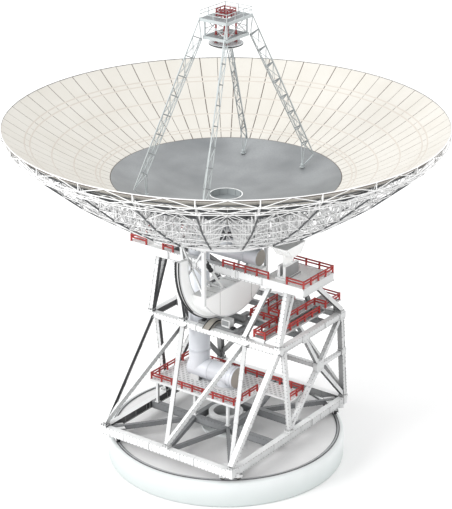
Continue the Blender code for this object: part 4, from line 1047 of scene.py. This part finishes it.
def build_drum():
    shape = Shape()
    low_x, high_x = DRUM_X
    radius, reach, top = DRUM_RADIUS - 0.02, DRUM_REACH - 0.02, DRUM_TOP - 0.02
    first = math.degrees(math.acos(reach / radius))
    rounds = [about_axis(180.0 + first + (180.0 - 2.0 * first) * step / 48) * radius for step in range(49)]
    outline = [(-reach, top)] + [(out.y, AXIS_Z + out.z) for out in rounds] + [(reach, top)]
    shape.slab(outline, low_x + 0.02, high_x - 0.05, 1)
    first = math.degrees(math.acos(DRUM_REACH / DRUM_RADIUS))
    for x in (low_x, high_x - 0.12):
        band = (180.0 + first, 360.0 - first)
        arc_band(shape, (DRUM_RADIUS - 0.16, DRUM_RADIUS), (x, x + 0.12), band, 0, 72)
        ends = [(x + 0.06, y, DRUM_TOP - 0.08) for y in (-DRUM_REACH, DRUM_REACH)]
        shape.bar(*ends, 0.12, 0.16)
    face = high_x - 0.05
    for y, low in ((-4.1, 24.45), (3.75, 24.25)):
        shape.box((face - 0.02, y - 0.04, low), (face + 0.012, y + 0.04, DRUM_TOP - 0.2), 0.0, 2)
    for y in (-5.0, -2.5, 0.0, 2.5, 5.0):
        shape.box((low_x + 0.2, y - 0.035, top), (high_x - 0.2, y + 0.035, DRUM_TOP + 0.006), 0.0, 2)
    for step in range(14):
        bolt = Vector((high_x - 0.25, -DRUM_REACH + 0.5 + (2.0 * DRUM_REACH - 1.0) * step / 13.0, top))
        shape.tube(bolt, bolt + UP * 0.07, 0.07, 6)

    low_x, high_x = GEAR_X
    root, tip = GEAR_RADIUS - 0.4, GEAR_RADIUS - 0.02
    first = 180.0 - math.degrees(math.asin((GEAR_TOP - AXIS_Z) / GEAR_RADIUS))
    span = (first, 540.0 - first)
    sweep = span[1] - span[0]
    arc_band(shape, (GEAR_INNER, root + 0.04), (low_x + 0.12, high_x - 0.05), span, 1)
    arc_band(shape, (root, tip - 0.12), (low_x + 0.3, high_x), span)
    arc_band(shape, (GEAR_INNER, GEAR_INNER + 0.16), (low_x + 0.04, high_x), span)
    arc_band(shape, (root, tip - 0.1), (low_x, low_x + 0.34), span, 3)
    # Dark strip at the inner edge of the teeth over the first 52 degrees: painted shade of the gap between
    # the gear and the drum
    arc_band(shape, (tip - 0.14, tip), (high_x - 0.16, high_x), (first, first + 52.0), 3, 40)
    teeth = 144
    for tooth in range(teeth):
        out = about_axis(first + sweep * (tooth + 0.5) / teeth)
        middle = Vector((low_x + 0.17, 0.0, AXIS_Z)) + out * (tip - 0.05)
        shape.bar(middle - RIGHT * 0.17, middle + RIGHT * 0.17, 0.13, 0.13, out, look=3)
    centre = Vector((low_x + 0.1, 0.0, AXIS_Z))
    for step in range(11):
        out = about_axis(first + 6.0 + (sweep - 12.0) * step / 10.0)
        shape.bar(centre + out * (GEAR_INNER + 0.15), centre + out * root, 0.07, 0.1, RIGHT, look=1)
    make(shape, "drum_casing", [WHITE, BRIGHTENED_WHITE, FAINT_SEAM, DARK], "reflector", ("counterweight_drum",))


def build_drum_frames():
    low, high = DRUM_TOP, HUB_LOW - 0.3
    right, web = DRUM_X[1] - 0.25, GEAR_X[0]
    left, strut_x = web - 0.25, DRUM_X[0] + 0.35
    for side, name in ((-1, "front"), (1, "back")):
        y, foot_y = side * (DRUM_REACH + 0.25), side * 3.4
        shape = Shape()
        shape.girder((right, y, low - 1.2), (right, y, high + 0.2), 0.5, sleeves=False)
        shape.girder((left, y, 30.2), (-2.3, y, high + 0.1), 0.42, sleeves=False)
        shape.box((web - 0.3, y - 0.5, 29.3), (web, y + 0.5, 30.8), 0.05)
        shape.bar((left, y, 30.5), (right, y, high), 0.28, chamfer=0.03)
        shape.bar((-2.2, y, high), (right, y, low + 0.3), 0.28, chamfer=0.03)
        shape.girder((-2.6, y, high + 0.05), (2.3, y, high + 0.05), 0.6, 0.5, sleeves=False)
        shape.gusset(((left + right) / 2.0, y, (30.5 + high) / 2.0), RIGHT, UP, (0.35, 0.4), 0.32)
        for x, top_x in ((strut_x, -2.1), (right, right)):
            foot, peak = Vector((x, foot_y, low + 0.2)), Vector((top_x, y, high - 1.3))
            shape.bar(foot, peak, 0.34, chamfer=0.05)
            shape.block(x, foot_y, 0.3, 0.5, low, low + 0.14, 0.03)
            shape.block(x, foot_y, 0.16, 0.35, low + 0.12, low + 0.45, 0.04)
        shape.tube(foot.lerp(peak, 0.6), foot.lerp(peak, 0.86), 0.3, 24, 1)
        for share in (0.6, 0.71, 0.84):
            shape.tube(foot.lerp(peak, share), foot.lerp(peak, share + 0.025), 0.36, 24, 1)
        shape.bar((strut_x, foot_y, low + 0.25), (right, foot_y, low + 0.25), 0.28, chamfer=0.03)
        make(shape, name + "_drum_lattice", [WHITE, DARK], "reflector", (name + "_drum_frame",))


# Drives and decks


def build_drive():
    top = MID_Z + 0.38
    shape = Shape()
    shape.box((-3.3, -2.5, top + 0.003), (3.2, -1.3, top + 0.4), 0.06)
    shape.box((-3.28, 0.7, top + 0.02), (3.18, 1.9, top + 0.38), 0.06)
    shape.girder((0.9, -2.45, top + 0.24), (0.9, 4.6, top + 0.24), 0.8, 0.4, sleeves=False)
    # Casing of the pinion, with a dark band around its edge
    shares = [step / 24.0 for step in range(25)]
    outline = [(-3.85 + 4.2 * share, top + 0.1 + 0.75 * math.sin(math.pi * share)) for share in shares]
    low_x, high_x = GEAR_X[0] - 0.2, GEAR_X[1] + 0.2
    shape.slab(outline, low_x + 0.01, high_x - 0.01, 1)
    for x in (low_x, high_x):
        for (y0, z0), (y1, z1) in zip(outline, outline[1:]):
            shape.bar((x, y0, z0 - 0.03), (x, y1, z1 - 0.03), 0.1, 0.16, look=2)
    shape.box((0.7, -2.15, top + 0.38), (2.2, -0.9, top + 1.59), 0.08, 3)
    shape.box((0.85, -2.17, top + 0.7), (2.05, -2.13, top + 1.45), 0.02)
    fins = [(0.5 + 0.2 * step, 0.57 + 0.2 * step, 0.45, 32, 0) for step in range(9)]
    for start, end, radius, sides, look in ((0.1, 2.6, 0.42, 32, 0), *fins, (-0.1, 0.12, 0.3, 24, 2)):
        shape.tube((start, 1.3, top + 0.75), (end, 1.3, top + 0.75), radius, sides, look)
    for x in (-2.65, -1.65, 2.65):
        shape.block(x, -1.9, 0.25, 0.4, top + 0.4, top + 0.62, 0.05, 2)
        shape.tube((x, -1.9, top + 0.6), (x, -1.9, top + 0.75), 0.15, 16, 2)
    looks = [GREY_STEEL, TAUPE, DARK, WHITE]
    make(shape, "drive_machines", looks, "alidade", ("elevation_drive",))
    beams = Shape()
    for y in FLOOR_BEAM_Y:
        beam(beams, BASE_X - 0.45, y, MID_Z, 0.6, 0.8)
    for x in (-2.8, 2.8):
        beams.girder((x, MID_FRONT_Y + 0.45, MID_Z), (x, FLOOR_BEAM_Y[1], MID_Z), 0.58, 0.76)
    # The floor girders in painted shade
    make(beams, "drive_floor_girders", [SHADED_FRAME], "alidade", ("drive_floor_beams",))


def deck_plate(shape, low, high, top, thick):
    """Deck field: plate with slots, edge channels and joists below."""
    (low_x, low_y), (high_x, high_y) = low, high
    shape.box((low_x + 0.06, low_y + 0.06, top - 0.08), (high_x - 0.06, high_y - 0.06, top - 0.01), 0.0, 1)
    z = top - thick / 2.0
    for y in (low_y + 0.05, high_y - 0.05):
        shape.bar((low_x, y, z), (high_x, y, z), 0.1, thick)
    for x in (low_x + 0.05, high_x - 0.05):
        shape.bar((x, low_y, z), (x, high_y, z), 0.1, thick)
    joists = max(1, round((high_x - low_x) / 1.5))
    for step in range(1, joists):
        x = low_x + (high_x - low_x) * step / joists
        shape.bar((x, low_y + 0.1, z - 0.04), (x, high_y - 0.1, z - 0.04), 0.1, thick - 0.09)


def build_decks():
    top = DRIVE_DECK_TOP
    shape = Shape()
    deck_plate(shape, (7.0, MID_FRONT_Y + 0.05), (9.2, 0.2), top, 0.25)
    deck_plate(shape, (6.9, 0.0), (10.3, 11.2), top - 0.005, 0.25)
    deck_plate(shape, (2.3, 2.75), (7.2, 9.9), top - 0.01, 0.25)
    shape.box((7.2, MID_FRONT_Y + 0.1, MID_TOP), (9.0, MID_FRONT_Y + 0.4, top - 0.2), 0.03)
    for y in FLOOR_BEAM_Y:
        shape.box((2.5, y - 0.2, MID_Z + 0.4), (10.1, y + 0.2, top - 0.2), 0.03)
    make(shape, "drive_deck_plates", [WHITE_FRAME, GREY_GRATING], "alidade", ("drive_deck",))
    top = UPPER_DECK_TOP
    shape = Shape()
    deck_plate(shape, (5.3, 3.1), (9.2, 10.1), top, 0.22)
    deck_plate(shape, (7.8, 9.9), (11.15, 14.0), top - 0.005, 0.22)
    for x, y in ((5.6, 3.5), (8.9, 3.5), (5.6, 9.6), (8.9, 9.6)):
        shape.girder((x, y, DRIVE_DECK_TOP), (x, y, top - 0.18), 0.34, sleeves=False)
    for x in (8.6, 10.6):
        shape.block(x, MID_BACK_Y, 0.2, 0.2, MID_TOP, top - 0.17, 0.03)
    make(shape, "upper_deck_plates", [WHITE_FRAME, GREY_GRATING], "alidade", ("upper_drive_deck",))
    top = DECK_Z
    shape = Shape()
    deck_plate(shape, (4.8, 1.2), (10.9, 4.98), top - 0.005, 0.25)
    # Main field with a round hole for the pipe, then its square corners
    hole, edge = [], []
    for step in range(48):
        u, v, _ = polar(1.0, 7.5 * (step + 0.5))
        reach = min((5.14 if u > 0 else 10.44) / abs(u), (4.94 if v > 0 else 5.04) / abs(v))
        hole.append((1.76 * u, 1.76 * v))
        edge.append((u * reach, v * reach))
    points = [(x, y, z) for z in (top - 0.01, top - 0.09) for x, y in hole + edge]
    faces = []
    for n in range(48):
        m = (n + 1) % 48
        faces += [(n, 48 + n, 48 + m, m), (96 + m, 144 + m, 144 + n, 96 + n)]
        faces += [(m, 96 + m, 96 + n, n), (48 + n, 144 + n, 144 + m, 48 + m)]
    shape.add(points, faces, False, 1)
    for x in (-10.44 + 1.1, 5.14 - 1.1):
        for y in (-5.04 + 1.1, 4.94 - 1.1):
            shape.block(x, y, 1.1, 1.1, top - 0.1, top - 0.014, 0.0, 1)
    for y in (-5.05, 4.95):
        shape.girder((-10.5, y, top - 0.2), (5.2, y, top - 0.2), 0.1, 0.4, sleeves=False)
    for x in (-10.45, 5.15):
        shape.girder((x, -5.1, top - 0.2), (x, 5.0, top - 0.2), 0.1, 0.4, sleeves=False)
    for x in (-10.2, -7.8, -5.4, -3.05, 3.05):
        shape.bar((x, -5.0, top - 0.19), (x, 4.9, top - 0.19), 0.14, 0.2)
    for y in (-3.7, -2.2, 2.2, 3.7):
        shape.bar((-10.4, y, top - 0.21), (5.1, y, top - 0.21), 0.12, 0.2)
    foot = BASE_TOP - 0.04
    for x in (-10.2, -3.05, 3.05):
        for y in (-3.7, 3.7):
            shape.girder((x, y, foot), (x, y, top - 0.15), 0.4, sleeves=False)
            shape.block(x, y, 0.34, 0.34, foot, foot + 0.1, 0.02)
    shape.girder((10.5, 3.7, foot), (10.5, 3.7, top - 0.15), 0.4, sleeves=False)
    make(shape, "lower_deck_plates", [WHITE, DECK_GRATING], "alidade", ("lower_deck",))


# Handrails


def rails(
    node, z, path, body="alidade", look=RED,
    closed=False, spacing=2.05, radius=0.125, levels=(1.0, 0.52),
):
    """Posts on foot plates and round rails along a path of (x, y) points, in place of a node."""
    shape = Shape()
    points = [Vector((x, y, z)) for x, y in path]
    pairs = list(zip(points, points[1:]))
    if closed:
        pairs.append((points[-1], points[0]))
    for number, (start, end) in enumerate(pairs):
        count = max(1, round((end - start).length / spacing))
        last = count if closed or number < len(pairs) - 1 else count + 1
        for step in range(last):
            foot = start.lerp(end, step / count)
            shape.bar(foot, foot + UP * (RAIL_HEIGHT - 0.02), radius * 1.9, chamfer=0.02)
            shape.block(foot.x, foot.y, 0.13, 0.13, z, z + 0.04)
        for level in levels:
            over = UP * (RAIL_HEIGHT * level - (radius if level == 1.0 else 0.0))
            shape.tube(start + over, end + over, radius, 8)
            if closed or number:
                shape.tube(start + over - UP * radius, start + over + UP * radius, radius, 8)
    make(shape, node.removesuffix("s") + "_tubes", [look], body, (node,))


def build_rails():
    path = ((2.45, 9.75), (2.45, 2.9), (7.15, 2.9), (7.15, -2.85), (9.05, -2.85), (9.05, 0.15), (10.15, 0.15))
    rails("drive_deck_rails", DRIVE_DECK_TOP, (*path, (10.15, 9.7)))
    path = ((5.45, 9.95), (5.45, 3.25), (9.05, 3.25), (9.05, 10.05), (11.0, 10.05), (11.0, 13.85))
    rails("upper_drive_deck_rails", UPPER_DECK_TOP, (*path, (7.95, 13.85)))
    front, back = HEAD_Y[0] + 0.15, HEAD_Y[1] - 0.15
    for (side, name), ends in zip(SIDES, ((-7.65, -9.5), (1.5, 9.5))):
        inside, out = side * (HEAD_X[0] + 0.15), side * (HEAD_X[1] - 0.15)
        path = ((side * 12.7, front), (out, front), (out, back), (inside, back), (inside, 2.6))
        rails(name + "_platform_rails", HEAD_TOP, path)
        rails(name + "_girder_rails", HEAD_TOP, [(x, front - 0.03) for x in ends])
    path = ((5.05, 1.0), (5.05, -4.95), (-10.35, -4.95), (-10.35, 4.85), (10.7, 4.85), (10.7, 1.4))
    rails("lower_deck_rails", DECK_Z, path)
    path = around(APEX_X - 0.1, APEX_Y - 0.1)
    rails("apex_rails", APEX_TOP, path, "reflector", LEG_PAINT, True, radius=0.05)
    path = around(0.98, 0.98)
    rails("apex_cage", APEX_TOP, path, "reflector", DEEP_RED, True, 0.98, 0.07, (1.0, 0.6, 0.2))


# Pipes


def level(shape, z, *runs):
    """Pipes along x; each run is a start, an end, a radius and perhaps a look."""
    for start, end, *rest in runs:
        shape.pipe((start, 0.0, z), (end, 0.0, z), *rest)


def upright(shape, x, *runs):
    """The same for pipes along z."""
    for start, end, *rest in runs:
        shape.pipe((x, 0.0, start), (x, 0.0, end), *rest)


def build_pipes():
    z, r = LOWER_PIPE_Z, PIPE_RADIUS
    pipes = Shape()
    upright(pipes, PIPE_X, (z, z + 2.8, r))
    level(pipes, z, (PIPE_X - 1.3, 1.9, r - 0.02), (PIPE_X - 1.34, PIPE_X - 1.3, r - 0.2))
    level(pipes, z, *((x - 0.06, x + 0.06, r + 0.05) for x in (-2.6, 0.9, 1.62)))
    level(pipes, z, (1.85, 2.1, r + 0.08), (2.08, 2.12, r - 0.02, 1))
    upright(pipes, 0.0, (z, DECK_Z - 0.6, r - 0.1), (DECK_Z + 0.01, DECK_Z + 0.22, 2.0, 2))
    pipes.block(PIPE_X, 0.0, 0.8, 1.3, DECK_Z + 0.002, z - 0.9, 0.05, 2)
    make(pipes, "lower_pipe_run", [PIPE, TAUPE, WHITE], "alidade", ("lower_beam_pipe",))
    pipes = Shape()
    upright(pipes, PIPE_X, (z + 2.81, AXIS_Z + 0.6, r))
    upright(pipes, PIPE_X, *((low, low + 0.12, r + 0.09) for low in (z + 2.85, z + 3.05, 20.2, 25.0, 29.9)))
    level(pipes, AXIS_Z, (PIPE_X - 1.2, -3.2, 1.4))
    make(pipes, "upright_pipe_run", [PIPE], "alidade", ("vertical_beam_pipe",))
    pipes = Shape()
    level(pipes, AXIS_Z, (-2.9, 6.0, 1.2), (3.6, 3.9, 1.3), (4.6, 6.18, 1.28), (6.14, 6.2, 1.2, 1))
    upright(pipes, 0.0, (AXIS_Z, VERTEX_Z - 0.96, 1.25), (35.2, 35.34, 1.32), (38.2, 38.34, 1.32))
    make(pipes, "axis_tube_run", [PIPE, TAUPE], "reflector", ("elevation_tube",))


# Foundation


def build_foundation():
    pad = Shape()
    r, top = PAD_RADIUS, PAD_TOP
    edge = [(r - 0.5, top), (r - 0.34, top - 0.03), (r - 0.12, top - 0.13), (r - 0.02, top - 0.34)]
    edge += [(r, top - 0.6), (r, 0.32), (r - 0.02, 0.14), (r - 0.1, 0.03), (r - 0.16, 0.0), (0.0, 0.0)]
    pad.turned([edge[0], (16.0, top), (0.0, top)], ROUND, False, look=1)
    pad.turned(edge[::-1], ROUND, False)
    looks = [CONCRETE, BRIGHTENED_CONCRETE_TOP]
    make(pad, "foundation_block", looks, "foundation", ("foundation_pad",), 60.0)
    track = Shape()
    for inner, outer, low, high, look in (
        (-0.3, 0.3, 0.003, 0.063, 0),
        (-0.22, -0.14, 0.053, 0.103, 1),
        (0.14, 0.22, 0.053, 0.103, 1),
        (-0.08, 0.08, 0.053, 0.2, 0),
    ):
        track.ring(TRACK_RADIUS + inner, TRACK_RADIUS + outer, top + low, top + high, look=look)
    make(track, "ring_rail", [RAIL_STEEL, DARK], "foundation", ("track_rail",))
    base = Shape()
    base.turned([(2.5, 5.0), (2.0, 5.0), (2.0, top + 0.01), (3.7, top + 0.01), (3.7, 4.35), (2.5, 4.35)], 96)
    make(base, "pintle_footing", [CONCRETE], "foundation", ("pintle_base",))
    ring = Shape()
    ring.ring(1.9, 2.62, 5.05, BASE_TOP + 0.05, 96)
    make(ring, "pintle_ring_casting", [WHITE], "alidade", ("pintle_ring",))


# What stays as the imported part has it, with better materials

LOOKS = {
    "left_bearing_arm": BRIGHTENED_WHITE,
    "right_bearing_arm": BRIGHTENED_WHITE,
    "left_bearing_housing": HOUSING_PAINT,
    "right_bearing_housing": HOUSING_PAINT,
    # The hub cross frame in painted shade
    "hub_cross_frame": SHADED_LATTICE,
}


def dress_nodes():
    for name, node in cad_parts.items():
        node.data.materials.clear()
        node.data.materials.append(LOOKS.get(name, WHITE))


# Floor, light and camera


def build_stage():
    scene = bpy.context.scene
    floor = bpy.data.meshes.new("floor")
    reach = 400.0
    floor.from_pydata([(x, y, -0.02) for x, y in around(reach, reach)], [], [(0, 1, 2, 3)])
    made = bpy.data.objects.new("floor", floor)
    scene.collection.objects.link(made)
    look = bpy.data.materials.new("pale_floor")
    look.use_nodes = True
    shader = look.node_tree.nodes["Principled BSDF"]
    shader.inputs["Base Color"].default_value = grey(0.96)
    shader.inputs["Roughness"].default_value = 0.9
    floor.materials.append(look)

    world = bpy.data.worlds.new("studio")
    world.use_nodes = True
    light = world.node_tree.nodes["Background"].inputs
    light["Color"].default_value = grey(1.0)
    light["Strength"].default_value = 1.2
    scene.world = world

    sun = bpy.data.lights.new("key_light", "SUN")
    sun.energy = 1.2
    sun.angle = math.radians(25.0)
    lamp = bpy.data.objects.new("key_light", sun)
    lamp.rotation_euler = Vector((-0.35, -0.80, 0.50)).to_track_quat("Z", "Y").to_euler()
    scene.collection.objects.link(lamp)

    # Camera of the photo; its focal length and the height of the picture are in pixels
    turn, pitch = math.radians(36.2), 0.39
    distance, height = 258.575, 138.375
    focal, picture = 1909.94, 509.0
    lens = bpy.data.cameras.new("photo_camera")
    lens.sensor_width = 36.0
    lens.lens = focal * lens.sensor_width / picture
    lens.clip_end = 2000.0
    camera = bpy.data.objects.new("photo_camera", lens)
    camera.location = (distance * math.sin(turn) * S, -distance * math.cos(turn) * S, height * S)
    camera.rotation_euler = (math.pi / 2.0 - pitch, 0.0, turn)
    scene.collection.objects.link(camera)
    scene.camera = camera
    scene.view_settings.view_transform = "Standard"


build_stage()
dress_nodes()
build_foundation()
build_panels()
build_disc()
build_rim()
build_backing()
build_hub()
build_legs()
build_apex()
build_base()
build_bogies()
build_faces()
build_towers()
build_drum()
build_drum_frames()
build_drive()
build_decks()
build_rails()
build_pipes()
